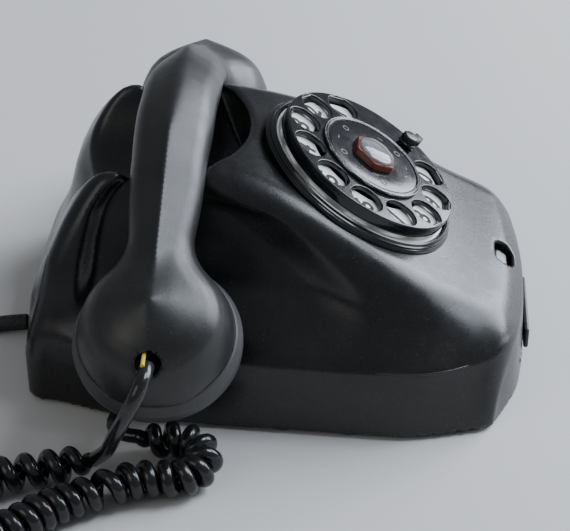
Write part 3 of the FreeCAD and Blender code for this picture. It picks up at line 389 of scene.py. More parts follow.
# ---------------------------------------------------------------- cords
HANDSET_TAIL = [(-113.4, 40.1, 58.4), (-119.8, 40.0, 59.4), (-125.0, 42.6, 54.2), (-125.0, 46.8, 45.0),
                (-121.6, 50.4, 36.2), (-117.0, 53.5, 27.5), (-112.0, 56.0, 19.5), (-107.0, 58.0, 14.0)]
CURL_ROUTE = [(-103.5, 63.0, 8.0), (-107.5, 73.0, 8.0), (-110.5, 84.0, 8.0), (-114.0, 95.0, 8.0),
              (-120.5, 105.5, 8.0), (-131.0, 111.0, 8.0), (-142.0, 106.5, 8.0), (-146.0, 95.5, 8.0),
              (-140.5, 85.0, 8.0), (-132.0, 77.0, 8.0), (-125.5, 68.0, 8.0), (-120.0, 58.5, 8.0),
              (-114.5, 49.5, 8.0), (-112.0, 39.5, 8.0), (-112.0, 30.0, 8.0), (-105.5, 23.4, 8.0),
              (-96.5, 23.4, 8.0), (-90.0, 30.0, 8.0), (-90.0, 39.5, 8.0), (-89.0, 48.5, 8.0)]
CURL_LEAD = [(-88.5, 53.0, 8.0), (-86.5, 57.5, 8.4), (-81.5, 59.0, 9.0), (-76.0, 57.0, 9.0)]
LINE_ROUTE = [(-16.0, 103.0, 5.2), (-16.2, 110.0, 4.6), (-17.4, 119.0, 3.6), (-20.6, 132.0, 3.4),
              (-23.6, 145.0, 3.6), (-24.6, 152.0, 3.8)]
LINE_END = [(-36.0, 176.5, 10.4), (-43.0, 179.2, 12.6), (-50.0, 179.8, 13.8), (-58.0, 179.0, 14.0)]
WIRE = 5.4
CURL = 15.0
LINE = 6.5
CURL_STEP = 0.25
CURL_PITCH = 6.3
LINE_GLAND = (-16, 95.2, 5.2)
LEAD_GLAND = (-69, 57, 9)
PLUG_BACK = (-88, 176, 14)


def spline(name, route, thickness=0.0):
    """A smooth curve that has these points as its control points."""
    data = bpy.data.curves.new(name, "CURVE")
    data.dimensions = "3D"
    data.resolution_u = 8
    data.bevel_depth = thickness / 2 * MM
    data.bevel_resolution = 5
    data.use_fill_caps = thickness > 0
    line = data.splines.new("NURBS")
    line.points.add(len(route) - 1)
    for point, corner in zip(line.points, route):
        point.co = (*[part * MM for part in corner], 1)
    line.order_u = 3
    line.use_endpoint_u = True
    return placed(name, data)


def followed(curve):
    """The points along a curve with no thickness, in millimetres."""
    thickness, curve.data.bevel_depth = curve.data.bevel_depth, 0
    bpy.context.view_layer.update()
    mesh = carried(curve)
    curve.data.bevel_depth = thickness
    return [vertex.co / MM for vertex in mesh.vertices]


def lengths_along(points):
    """How far along the line each point is."""
    out = [0.0]
    for before, after in zip(points, points[1:]):
        out.append(out[-1] + (after - before).length)
    return out


def curl_points(points, radius):
    """A helix round a line: loosely wound at first, close together later, straight at both ends."""
    along = lengths_along(points)
    whole = along[-1]
    steps = int(whole / CURL_STEP)
    places = [whole * step / steps for step in range(steps + 1)]
    line = np.array([tuple(point) for point in points])
    spots = np.stack([np.interp(places, along, line[:, axis]) for axis in range(3)], 1)
    headings = np.gradient(spots, axis=0)
    headings /= np.linalg.norm(headings, axis=1)[:, None]
    out, angle, side = [], 0.0, np.array([0.0, 0.0, 1.0])
    last_kept = -10.0
    for place, spot, heading in zip(places, spots, headings):
        side = side - heading * (side @ heading)
        side = side / np.linalg.norm(side)
        across = np.cross(heading, side)
        lively = 1 + 0.10 * math.sin(place / 9.0) + 0.06 * math.sin(place / 3.7)
        loose = 1.0 + 0.32 * max(0.0, 1 - abs(place - 24) / 26) + 0.5 * max(0.0, 1 - abs(place - 128) / 8)
        pitch = CURL_PITCH * loose * lively
        angle += 2 * math.pi * CURL_STEP / pitch
        opened = min(1.0, place / 9.0, (whole - place) / 9.0)
        reach = radius * opened * (1 + 0.05 * math.sin(place / 5.0))
        if angle - last_kept >= math.pi / 8:
            out.append(tuple(spot + reach * (side * math.cos(angle) + across * math.sin(angle))))
            last_kept = angle
    return out


def handset_cord():
    """The curly cord as one wire: tail from the mouthpiece, curled length, lead into the housing."""
    route = spline("curl_route", CURL_ROUTE)
    wound = curl_points(followed(route), (CURL - WIRE) / 2 - 0.2)
    bpy.data.objects.remove(route)
    wound = [(x, y, max(z, WIRE / 2 + 0.5)) for x, y, z in wound]
    wire = spline("handset_cord", HANDSET_TAIL[:-1] + wound + CURL_LEAD, WIRE)
    wire.data.resolution_u = 3
    path = followed(wire)
    made = as_mesh(wire)
    made.data.shade_smooth()
    paint(made, "curl_plastic")
    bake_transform(made)
    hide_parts("handset_cord_tail", "handset_cord_curl", "handset_cord_lead")
    whole = lengths_along(path)[-1]
    print("handset cord length", round(whole, 1))


COIL_CENTRE = Vector((12.0, 179.0, 0.0))
COIL_TURN_RADII = [43.4, 36.8, 30.2]
COIL_LAYERS = [3.9, 10.3]
COIL_START = math.radians(216.4)


def coil_points():
    """Two layers of flat turns, inward below and outward above."""
    rings = [(radius, COIL_LAYERS[0]) for radius in COIL_TURN_RADII]
    rings += [(radius, COIL_LAYERS[1]) for radius in reversed(COIL_TURN_RADII)]
    out = []
    per_turn = 18
    for turn, (radius, height) in enumerate(rings):
        next_radius, next_height = rings[min(turn + 1, len(rings) - 1)]
        for step in range(per_turn):
            share = max(0.0, (step / per_turn - 0.72) / 0.28)
            share = share * share * (3 - 2 * share)
            angle = COIL_START - 2 * math.pi * (turn + step / per_turn)
            reach = radius + (next_radius - radius) * share + random.uniform(-0.25, 0.25)
            spot = COIL_CENTRE + Vector((reach * math.cos(angle), reach * math.sin(angle),
                                         height + (next_height - height) * share))
            out.append(tuple(spot))
    return out[1:]


def line_cord():
    """The line cord, from the housing through its coil to the plug."""
    wire = spline("line_lead", LINE_ROUTE + coil_points() + LINE_END, LINE)
    wire.data.resolution_u = 5
    print("line cord length", round(lengths_along(followed(wire))[-1], 1))
    wire.data.materials.append(MATERIALS["cord_black"].material)
    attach(wire, "base")
    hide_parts("line_cord", "line_cord_coil", "line_cord_end")


def axis_place(start, heading):
    """A place whose Z axis runs along heading."""
    return Matrix.Translation(Vector(start)) @ Vector(heading).to_track_quat("Z", "Y").to_matrix().to_4x4()


def sleeves_and_plug():
    """The tapered sleeves where the cords enter the housing, and the plug."""
    def rings(_turn, height):
        return -0.35 if height > 2.6 and int(height / 0.9) % 2 else 0.0
    outline = [(3.35, -1.8), (4.1, -1.8), (4.1, 2.0), (4.9, 2.0), (4.8, 3.0), (4.0, 7.0), (3.35, 7.0),
               (3.35, -1.8)]
    line = turned("line_sleeve", outline, axis_place(LINE_GLAND, (0, 1, 0)), 0.25, 48, rings)
    finish_piece(line, "base", "plug_black", stands_for=["line_gland"])
    outline = [(2.8, -4), (3.5, -4), (3.5, 1.8), (4.6, 1.8), (4.4, 3.0), (3.6, 7.0), (2.8, 7.0), (2.8, -4)]
    lead = turned("lead_sleeve", outline, axis_place(LEAD_GLAND, (-1, 0, 0)), 0.25, 48, rings)
    finish_piece(lead, "base", "plug_black", stands_for=["lead_gland"])

    def grips(turn, height):
        return 0.45 * math.cos(turn * 24) if 1.5 < height < 9.0 else 0.0
    outline = [(0, 0), (12.9, 0), (13.3, 1.2), (12.9, 1.6), (12.9, 9.2), (13.2, 9.8), (12, 12), (8, 22),
               (5.5, 30), (3.3, 30), (0, 29)]
    body = turned("plug_body", outline, axis_place(PLUG_BACK, (1, 0.1, 0)), 0.5, 144, grips)
    finish_piece(body, "base", "plug_black", stands_for=["line_plug"])


sleeves_and_plug()
handset_cord()
line_cord()


# ---------------------------------------------------------------- carved forms
def rounded_meet(first, second, radius):
    """Where both fields are inside, with the meeting edge rounded to that radius."""
    deep = np.minimum(np.maximum(first, second), -radius)
    return deep + np.hypot(np.maximum(first + radius, 0), np.maximum(second + radius, 0))


def blended(first, second, reach):
    """Both forms together with a soft fillet between them."""
    near = np.maximum(reach - np.abs(first - second), 0) / reach
    return np.minimum(first, second) - near * near * reach / 4


def smooth_step(value, low, high):
    """0 up to low, 1 from high on, and a soft step between them."""
    share = np.clip((value - low) / (high - low), 0, 1)
    return share * share * (3 - 2 * share)


def through(places, amounts, width=41):
    """A smooth curve through a few values, as a function."""
    fine = np.linspace(places[0], places[-1], 400)
    rough = np.interp(fine, places, amounts)
    kernel = np.hanning(width) / np.hanning(width).sum()
    half = width // 2
    before = 2 * rough[0] - rough[half:0:-1]
    after = 2 * rough[-1] - rough[-2:-half - 2:-1]
    soft = np.convolve(np.concatenate([before, rough, after]), kernel, "valid")
    return lambda value: np.interp(value, fine, soft)


def carve(name, field, low, high, step, wall, solid=None):
    """A shell of that wall inside the form where field is negative, as quads whose corners lie on it.
    Where solid is negative, the form stays filled."""
    axes = [np.arange(start, stop + step, step, dtype=np.float32) for start, stop in zip(low, high)]
    grid = np.meshgrid(*axes, indexing="ij")
    values, cuts = field(*grid)
    steep = np.sqrt(sum(slope * slope for slope in np.gradient(values, step)))
    hollow = values / np.clip(steep, 0.4, 4.0) + wall
    if solid is not None:
        hollow = np.maximum(hollow, -solid(*grid))
    values = np.maximum(np.maximum(values, cuts), -hollow)
    del steep, hollow, cuts
    inside = values < 0
    shape = [count - 1 for count in inside.shape]

    def corner(block_of, shift):
        return block_of[tuple(slice(move, move + count) for move, count in zip(shift, shape))]

    shifts = [(a, b, c) for a in (0, 1) for b in (0, 1) for c in (0, 1)]
    filled = sum(corner(inside, shift).astype(np.int8) for shift in shifts)
    mixed = (filled > 0) & (filled < 8)
    index = np.full(shape, -1, np.int64)
    index[mixed] = np.arange(mixed.sum())
    total = np.zeros((int(mixed.sum()), 3), np.float64)
    crossings = np.zeros(int(mixed.sum()))
    for near in shifts:
        for axis in range(3):
            if near[axis]:
                continue
            far = tuple(1 if number == axis else part for number, part in enumerate(near))
            start, end = corner(values, near)[mixed], corner(values, far)[mixed]
            crossed = (start < 0) != (end < 0)
            share = np.where(crossed, start / np.where(start == end, 1, start - end), 0)
            spot = np.tile(np.array(near, float), (len(start), 1))
            spot[:, axis] += share
            total += spot * crossed[:, None]
            crossings += crossed
    points = (np.argwhere(mixed) + total / crossings[:, None]) * step + np.array(low, float)
    quads = []
    for axis in range(3):
        first, second = [other for other in range(3) if other != axis]
        span = [slice(1, -1)] * 3
        span[axis] = slice(0, -1)
        ahead = list(span)
        ahead[axis] = slice(1, None)
        start, end = inside[tuple(span)], inside[tuple(ahead)]
        for flip in (False, True):
            where = np.argwhere((start & ~end) if flip else (~start & end))
            where = where + np.array([0 if number == axis else 1 for number in range(3)])
            around = []
            for move_first, move_second in ((-1, -1), (0, -1), (0, 0), (-1, 0)):
                cell = where.copy()
                cell[:, first] += move_first
                cell[:, second] += move_second
                around.append(index[cell[:, 0], cell[:, 1], cell[:, 2]])
            quad = np.stack(around, 1)
            outward = flip if axis != 1 else not flip
            quads.append(quad if outward else quad[:, ::-1])
    quads = np.concatenate(quads)
    for _ in range(3):
        points = points - drop_to(lambda *spot: np.maximum(*field(*spot)), points, step)
    mesh = bpy.data.meshes.new(name)
    mesh.vertices.add(len(points))
    mesh.vertices.foreach_set("co", (points * MM).astype(np.float32).ravel())
    mesh.loops.add(quads.size)
    mesh.loops.foreach_set("vertex_index", quads.astype(np.int32).ravel())
    mesh.polygons.add(len(quads))
    mesh.polygons.foreach_set("loop_start", np.arange(0, quads.size, 4, dtype=np.int32))
    mesh.update(calc_edges=True)
    mesh.shade_smooth()
    return placed(name, mesh)


def drop_to(field, points, most):
    """The move that takes each point towards the field's zero surface."""
    probe = 0.15
    slope = np.zeros_like(points)
    for axis in range(3):
        ahead, behind = points.copy(), points.copy()
        ahead[:, axis] += probe
        behind[:, axis] -= probe
        slope[:, axis] = (field(*ahead.T) - field(*behind.T)) / (2 * probe)
    steep = np.maximum((slope ** 2).sum(1), 0.05)
    move = slope * (field(*points.T) / steep)[:, None]
    size = np.linalg.norm(move, axis=1)
    return move * (size < most)[:, None]


# ---------------------------------------------------------------- housing
DIAL_JOINT = JOINTS["dial_turn"]
DIAL_MIDDLE = Vector(DIAL_JOINT["pos_m"]) / MM
DIAL_UP = Vector(DIAL_JOINT["axis"]).normalized()
DIAL_TILT = math.atan2(-DIAL_UP.y, DIAL_UP.z)
DIAL = Matrix.Translation(DIAL_MIDDLE) @ Matrix.Rotation(DIAL_TILT, 4, "X")
FACE_DROP = 9.5
CREASE = 27.5
WALL = 3.2
SIDE_LEAN = math.radians(3.0)

half_width = through([20, 30, 35, 41, 50, 61, 69, 76, 82, 88, 93, 99],
                     [66, 63.5, 61, 58.5, 55, 51, 47.8, 44.5, 41.5, 38.3, 35.5, 31])
rear_line = through([20, 27.5, 32, 43, 55, 66, 76, 85, 90, 99],
                    [95.6, 94.5, 92.5, 90, 87, 82, 76.5, 70.5, 67, 61])
ridge_line = through([30, 39, 46, 53, 61, 69, 76, 79, 88, 99], [-48, -46, -44, -38, -29, -19, -8, 6, 26, 30])
fin_front = through([25, 32, 42, 55, 66, 75, 82, 87, 99], [78, 76, 76, 75, 73, 70.5, 66, 60, 52])
CRADLE = np.array([(24.3, 112), (25.6, 97), (27.6, 90), (29.8, 86.3), (33, 84.2), (37, 83.5), (49, 83.5),
                   (53.5, 84.6), (57, 86.4), (60.5, 88.0), (63.5, 88.4), (67, 87.4), (70, 85.0), (73, 82),
                   (78, 76), (86, 66), (98, 54)])
PLUNGER_X = 36.0
PLUNGER_Y = 41.5


def skirt_plan(x, y):
    """Distance outside the crease's outline, seen from above."""
    side = np.abs(x) * math.cos(SIDE_LEAN) + y * math.sin(SIDE_LEAN) - 68.8
    front = -y - 93.4 + 0.0023 * x * x
    rear = y - 95.4 + 0.0006 * x * x
    return rounded_meet(rounded_meet(side, front, 35.0), rear, 39.0)


def band(x, y, z):
    """Distance outside the upright band, which flares most at the middle of its sides."""
    flare = 0.172 * (1 - 0.55 * smooth_step(-y, 35, 88) - 0.8 * smooth_step(y, 35, 90))
    return skirt_plan(x, y) - (CREASE - z) * flare


def skirt(x, y, z):
    """The upright band, and the shelf that rises inward from its crease."""
    plan = skirt_plan(x, y)
    inward = np.maximum(-plan, 0)
    shelf = z - (CREASE + 0.2 + 7.2 * (1 - np.exp(-inward / 6.6)) + 0.07 * inward)
    return rounded_meet(band(x, y, z), shelf * 0.8, 0.6)


def tower(x, y, z):
    """The sloping dial face, the plateau, the hollowed sides, and the fins behind."""
    wide = np.abs(x)
    face = (y - DIAL_MIDDLE.y) * DIAL_UP.y + (z - DIAL_MIDDLE.z) * DIAL_UP.z + FACE_DROP
    face = face + 0.034 * np.maximum(wide - 41, 0) ** 2
    crown = z - 94.6 + 0.0016 * x * x
    top = rounded_meet(face, crown, 16.0)
    behind = smooth_step(y, ridge_line(z) + 2, ridge_line(z) + 30)
    level = smooth_step(z, 34, 52) * (1 - 0.4 * smooth_step(z, 76, 90))
    blade = smooth_step(y, fin_front(z) - 7.5, fin_front(z) + 0.5)
    hollow = level * (5.2 * behind * (1 - blade) - 1.0 * blade)
    side = (wide * math.cos(SIDE_LEAN) + y * math.sin(SIDE_LEAN) - half_width(z) + hollow) * 0.93
    form = rounded_meet(side, top, 8.0)
    between = np.cos(np.clip(x / 31.0, -1, 1) * math.pi / 2) ** 2
    rear = (y - rear_line(z) + 9.5 * between * smooth_step(z, 36, 62)) * 0.9
    form = rounded_meet(form, rear, 6.5)
    return rounded_meet(form, -y - 89.0 + 0.0017 * x * x, 4.0)


def basin(x, y, z):
    """The finger space under the handset."""
    trough = np.hypot(x, z - 95) - 33
    front = (np.hypot(x / 40, np.minimum(y - 48, 0) / 34) - 1) * 34
    return np.maximum(trough, front)


def cradle(y, z):
    """Distance above the line of horns, seat and fins, seen from the side."""
    return (z - np.interp(y, CRADLE[:, 0], CRADLE[:, 1], left=140, right=200)) * 0.62


BUTTON_AXIS = -Vector(JOINTS["button_press"]["axis"])
BUTTON_LEAN = math.atan2(-BUTTON_AXIS.y, BUTTON_AXIS.z)
BUTTON = Matrix.Translation(Vector((0, -84.6, 32.2))) @ Matrix.Rotation(BUTTON_LEAN, 4, "X")


def key_space(x, y, z, half_x, half_y, low):
    """A round-ended slot about the button's own axis."""
    away_y, away_z = y - BUTTON.translation.y, z - BUTTON.translation.z
    across = away_y * math.cos(BUTTON_LEAN) + away_z * math.sin(BUTTON_LEAN)
    up = -away_y * math.sin(BUTTON_LEAN) + away_z * math.cos(BUTTON_LEAN)
    flat = np.hypot(np.maximum(np.abs(x) - (half_x - half_y), 0), across) - half_y
    return np.maximum(flat, low - up)


def dial_space(x, y, z):
    """The round well that holds the dial."""
    away_y, away_z = y - DIAL_MIDDLE.y, z - DIAL_MIDDLE.z
    across = away_y * math.cos(DIAL_TILT) + away_z * math.sin(DIAL_TILT)
    up = -away_y * math.sin(DIAL_TILT) + away_z * math.cos(DIAL_TILT)
    return np.maximum(np.hypot(x, across) - 36.9, -42.0 - up)


def outer_form(x, y, z):
    """The outside of the housing before anything is cut into it."""
    form = blended(skirt(x, y, z), tower(x, y, z), 11.0)
    form = rounded_meet(form, cradle(y, z), 2.6)
    return rounded_meet(form, -basin(x, y, z), 3.0)


def housing(x, y, z):
    """The outside of the housing, and everything cut into it."""
    cuts = [dial_space(x, y, z), key_space(x, y, z, 6.3, 3.7, -14.0), key_space(x, y, z, 7.3, 4.7, -0.4)]
    for side in (-1, 1):
        cuts.append(np.maximum(np.hypot(x - PLUNGER_X * side, y - PLUNGER_Y) - 2.35, 50 - z))
    tray_slot = np.maximum(np.abs(x) - 33.4, np.abs(z - 7.4) - 1.5)
    line_hole = np.hypot(x - LINE_GLAND[0], z - LINE_GLAND[2]) - 4.3
    lead_hole = np.hypot(y - LEAD_GLAND[1], z - LEAD_GLAND[2]) - 3.8
    cuts += [np.maximum(tray_slot, y + 80), np.maximum(line_hole, 85 - y), np.maximum(lead_hole, x + 60)]
    return outer_form(x, y, z), np.maximum(-np.minimum.reduce(cuts), 1.5 - z)


def band_bead(name, level, radius, inset):
    """A fine rounded lip that runs round the housing at that height of the band."""
    steps, sides = 420, 10
    turns = np.linspace(0, 2 * math.pi, steps, endpoint=False)
    near, far = np.full(steps, 30.0), np.full(steps, 130.0)
    for _ in range(40):
        middle = (near + far) / 2
        outside = band(middle * np.cos(turns), middle * np.sin(turns), level) > -inset
        near, far = np.where(outside, near, middle), np.where(outside, middle, far)
    path = np.stack([near * np.cos(turns), near * np.sin(turns), np.full(steps, level)], 1)
    along = np.roll(path, -1, 0) - np.roll(path, 1, 0)
    out = np.stack([along[:, 1], -along[:, 0], np.zeros(steps)], 1)
    out /= np.linalg.norm(out, axis=1)[:, None]
    points, faces = [], []
    for step in range(steps):
        for side in range(sides):
            turn = 2 * math.pi * side / sides
            away = out[step] * math.cos(turn) + np.array([0, 0, math.sin(turn)])
            points.append(path[step] + radius * away)
            ahead, beside = (step + 1) % steps * sides, (side + 1) % sides
            faces.append((step * sides + side, ahead + side, ahead + beside, step * sides + beside))
    finish_piece(piece_from(name, points, faces), "base", "bakelite")


def make_housing():
    low, high = (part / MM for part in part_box("housing_shell"))
    step = 1.25
    margin = Vector((3 * step,) * 3)
    form = carve("housing", housing, tuple(low - margin), tuple(high + margin), step, WALL)
    finish_piece(form, "base", "bakelite", stands_for=["housing_shell"])


# ---------------------------------------------------------------- handset
HANDSET_Y = 40.5
CAP_X = 79.8
CAP_Z = 41.3
CAP_TILT = math.radians(28)
BELL_FOOT = 12.3
CAP_PROFILE = [(0, -1.2), (15, -0.9), (25.6, -0.2), (29.0, 1.2), (30.4, 3.8), (30.6, 8.0), (30.3, 8.8),
               (28.9, 12.0), (28.5, 12.5), (27.9, 12.6), (27.5, 11.2), (27.3, 4), (25.3, 2.3), (0, 1.6)]
CORD_HOLE = ((-105.8, 40.2, 57.2), (-0.987, -0.015, 0.16))
CORE_ROUTE = [(-105, 41.5, 60.2), (-110, 41.4, 60.8), (-114.5, 41.2, 61.3), (-117.2, 41.0, 61.6)]
ridge_height = through([0, 8, 16, 30, 43, 55, 70, 85, 97, 104, 110],
                       [112.2, 112.0, 110.9, 107.3, 102.0, 95.8, 88.2, 80.6, 74.6, 69, 61], 71)
grip_depth = through([0, 15, 36, 50, 70, 90, 110], [25.0, 24.2, 20.6, 19.6, 20.5, 22.5, 24.0], 71)
grip_width = through([0, 20, 35, 50, 58, 66, 75, 84, 104],
                     [13.2, 13.6, 13.8, 13.4, 12.3, 11.4, 10.7, 11.0, 12.5], 71)
bell_radius = through([-6, 0, 3.5, 7.6, 11.1, 15.4, 18.9, 22, 24.2, 26.5, 29],
                      [28.3, 28.1, 27.6, 26.6, 25.2, 22.9, 19.6, 14.8, 9.0, 1.0, -8.0])


def below_ridge(x, z):
    """Depth under the grip's back, measured square to it."""
    reach = np.abs(x)
    slope = (ridge_height(reach + 1) - ridge_height(np.abs(reach - 1))) / 2
    return (ridge_height(reach) - z) / np.sqrt(1 + slope * slope)


def grip(x, y, z):
    """A bar with a roof-shaped back, upright sides and a round belly."""
    down = below_ridge(x, z)
    soft = 0.3 + 9.0 * (1 - smooth_step(np.abs(x), 6, 34))
    aside = np.sqrt((y - HANDSET_Y) ** 2 + soft) - 0.55 * np.sqrt(soft)
    pitch = math.radians(33)
    roof = -down * math.cos(pitch) + aside * math.sin(pitch)
    side = aside - grip_width(np.abs(x)) + 0.010 * (down - 12) ** 2
    form = rounded_meet(roof, side, 4.5)
    form = rounded_meet(form, down - grip_depth(np.abs(x)), 8.5)
    return rounded_meet(form, np.abs(x) - 106, 6.0)


def bell(x, y, z, side):
    """One domed end above its cap, and the height above the cap's open face."""
    away_x, away_z = x - side * CAP_X, z - CAP_Z
    along = away_x * side * math.sin(CAP_TILT) + away_z * math.cos(CAP_TILT)
    across = np.hypot(away_x * math.cos(CAP_TILT) - away_z * side * math.sin(CAP_TILT), y - HANDSET_Y)
    return (across - bell_radius(along - BELL_FOOT)) * 0.8, along


def handset(x, y, z):
    """The outside of the handset, and everything cut into it."""
    form = grip(x, y, z)
    feet = np.full_like(x, -50.0)
    for side in (-1, 1):
        dome, along = bell(x, y, z, side)
        form = blended(form, dome, 9.0)
        feet = np.maximum(feet, np.where(side * x > 30, BELL_FOOT - along, -50))
    form = rounded_meet(form, feet - 6, 0.8)
    heading = CORD_HOLE[1]
    away = [spot - start for spot, start in zip((x, y, z), CORD_HOLE[0])]
    along = sum(part * axis for part, axis in zip(away, heading))
    square = np.sqrt(np.maximum(sum(part * part for part in away) - along * along, 0))
    return form, np.maximum(-np.maximum(square - 4.5, -along), feet)


def grip_core(x, y, z):
    """Where the handset is solid: all of it between the two bells."""
    far = np.full_like(x, 50.0)
    for side in (-1, 1):
        along = bell(x, y, z, side)[1]
        far = np.minimum(far, np.maximum(52 - side * x, along - 33))
    return -far


def make_handset():
    low, high = (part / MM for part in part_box("handset_body"))
    step = 1.0
    margin = Vector((3 * step,) * 3)
    form = carve("handset", handset, tuple(low - margin), tuple(high + margin), step, WALL, grip_core)
    finish_piece(form, "handset", "handset_black", stands_for=["handset_body"])
    for side, word, rings in ((-1, "mouthpiece", [(4, 6), (9, 12)]), (1, "earpiece", [(3.5, 6)])):
        foot = Matrix.Translation((side * CAP_X, HANDSET_Y, CAP_Z))
        place = foot @ Matrix.Rotation(side * CAP_TILT, 4, "Y")
        cap = turned(word + "_cap_form", CAP_PROFILE, place, 0.5)
        drills = []
        for radius, count in rings:
            for hole in range(count):
                turn = 2 * math.pi * hole / count
                spot = Vector((radius * math.cos(turn), radius * math.sin(turn), 0))
                drills.append(turned("drill", [(0, -4), (1.1, -4), (1.1, 8), (0, 8)],
                                     place @ Matrix.Translation(spot), 0.01, 20))
        tool = joined("drills", drills)
        cutter = cap.modifiers.new("holes", "BOOLEAN")
        cutter.object = tool
        cutter.solver = "EXACT"
        cap = as_mesh(cap)
        bpy.data.objects.remove(tool)
        cap.data.shade_smooth()
        cap.data.set_sharp_from_angle(angle=math.radians(40))
        finish_piece(cap, "handset", "handset_black", "cap_rim", [word + "_cap"])
    core = spline("cord_wire", CORE_ROUTE, 1.5)
    finish_piece(as_mesh(core), "handset", "curl_plastic", "wire_yellow")


make_housing()
band_bead("crease_bead", CREASE - 0.2, 0.6, 0.35)
band_bead("foot_bead", 2.0, 0.7, 0.6)
make_handset()


# ---------------------------------------------------------------- dial
WHEEL_RADIUS = 37.5
HOLE_RADIUS = 6.65
HOLE_CIRCLE = 30.1
FIRST_HOLE = 28.0
MARK_CIRCLE = 15.8
STOP_KNOB_AT = 29.5
STOP_DEGREES = -31
PLATE_TOP = -2.9
FIGURE_SIZE = 11.6


def ring_place(radius, degrees, height=0.0, spin=0.0):
    turn = math.radians(degrees)
    spot = Matrix.Translation((radius * math.cos(turn), radius * math.sin(turn), height))
    return DIAL @ spot @ Matrix.Rotation(math.radians(spin), 4, "Z")


def outline_plate(name, circles, thickness, edge, place):
    """A flat plate with holes and rounded edges, from circles of x, y, radius; the first is its outside."""
    data = bpy.data.curves.new(name, "CURVE")
    data.dimensions = "2D"
    data.fill_mode = "BOTH"
    data.extrude = (thickness / 2 - edge) * MM
    data.bevel_depth = edge * MM
    data.bevel_resolution = 3
    data.offset = -edge * MM
    data.resolution_u = 24
    for middle_x, middle_y, radius in circles:
        line = data.splines.new("BEZIER")
        line.bezier_points.add(3)
        pull = radius * 0.5523
        for corner, point in enumerate(line.bezier_points):
            turn = math.pi / 2 * corner
            out = Vector((math.cos(turn), math.sin(turn), 0))
            along = Vector((-out.y, out.x, 0))
            spot = Vector((middle_x, middle_y, 0)) + out * radius
            point.co = spot * MM
            point.handle_left = (spot - along * pull) * MM
            point.handle_right = (spot + along * pull) * MM
        line.use_cyclic_u = True
    made = placed(name, data)
    middle = place @ Matrix.Translation((0, 0, -thickness / 2))
    made.matrix_world = Matrix.Translation(middle.translation * MM) @ middle.to_3x3().to_4x4()
    bpy.context.view_layer.update()
    return as_mesh(made)


def make_wheel():
    circles = [(0, 0, WHEEL_RADIUS)]
    for number in range(10):
        turn = math.radians(FIRST_HOLE + 30 * number)
        circles.append((HOLE_CIRCLE * math.cos(turn), HOLE_CIRCLE * math.sin(turn), HOLE_RADIUS))
    plate = outline_plate("wheel_plate", circles, 2.2, 0.45, DIAL)
    outline = [(35.8, -1.6), (35.8, -5.0), (WHEEL_RADIUS, -5.0), (WHEEL_RADIUS, -1.2), (36.6, -0.25),
               (35.8, -0.3), (35.8, -1.6)]
    rim = turned("wheel_rim", outline, DIAL, 0.3, 200)
    wheel = joined("wheel", [plate, rim])
    wheel.data.set_sharp_from_angle(angle=math.radians(50))
    finish_piece(wheel, "dial_rotor", "wheel_black", stands_for=["finger_wheel"])


def make_hub():
    outline = [(4, 0), (21.7, 0), (21.7, 1.2), (20.9, 1.5), (20.6, 0.9), (20.1, 0.9), (19.8, 1.3),
               (4, 1.2), (4, 0)]
    disc = turned("hub", outline, DIAL, 0.18, 200)
    finish_piece(disc, "dial_rotor", "wheel_black", stands_for=["hub_disc"])
    rings = []
    for inner in (20.5, 21.4):
        outer = inner + 0.44
        outline = [(inner, 0.3), (inner, 1.3), (inner + 0.22, 1.5), (outer, 1.3), (outer, 0.3), (inner, 0.3)]
        rings.append(turned("ring", outline, DIAL, 0.1, 200))
    finish_piece(joined("hub_bright_rings", rings), "dial_rotor", "bright_steel", "dull_steel")
    outline = [(0.95, 1.15), (0.95, 1.42), (1.45, 1.42), (1.45, 1.15), (0.95, 1.15)]
    marks = [turned("mark", outline, ring_place(MARK_CIRCLE, degrees), 0.08, 28)
             for degrees in (55, 125, 200, 262, 318)]
    for degrees in (90, 160, 232, 290, 350):
        place = ring_place(MARK_CIRCLE, degrees, spin=degrees)
        marks.append(block("mark", (-0.25, -1.3, 1.1), (0.25, 1.3, 1.38), place, 0.1, 2))
    finish_piece(joined("hub_marks", marks), "dial_rotor", "bright_steel", "faint_steel")
    outline = [(0, 1.2), (7.6, 1.2), (7.6, 3.7), (7.2, 4.3), (5.0, 4.85), (2.5, 5.1), (0, 5.15)]
    lens = turned("centre_lens", outline, DIAL, 1.2, 96)
    finish_piece(lens, "dial_rotor", "clear", stands_for=["hub_lens"])
    finish_piece(hex_holder(), "dial_rotor", "amber", stands_for=["hub_hex_ring"])
    outline = [(0, 1.25), (7.2, 1.25), (7.2, 1.6), (0, 1.6), (0, 1.25)]
    finish_piece(turned("centre_card", outline, DIAL, 0.05, 64), "dial_rotor", "dial_white", "tray_black")


def hex_holder():
    """A six-sided collar with a round bore and bevelled edges."""
    rows = [(0.3, 0.0, True), (0.0, 1.9, True), (-0.35, 2.3, True),
            (0.1, 2.3, False), (0.0, 2.0, False), (0.0, 0.0, False)]
    sides, corner, cut_corner, bore = 96, 9.6, 9.35, 7.65
    points, faces = [], []
    for step in range(sides):
        turn = 2 * math.pi * step / sides
        folded = (turn % (math.pi / 3)) - math.pi / 6
        edge = min(corner * math.cos(math.pi / 6) / math.cos(folded), cut_corner)
        for change, height, outside in rows:
            radius = (edge if outside else bore) + change
            points.append(DIAL @ Vector((radius * math.cos(turn), radius * math.sin(turn), height + 1.2)))
    count = len(rows)
    for step in range(sides):
        ahead = (step + 1) % sides
        for row in range(count):
            follow = (row + 1) % count
            near, far = step * count, ahead * count
            faces.append((near + row, far + row, far + follow, near + follow))
    made = piece_from("hex_collar", points, faces)
    made.data.set_sharp_from_angle(angle=math.radians(25))
    return made


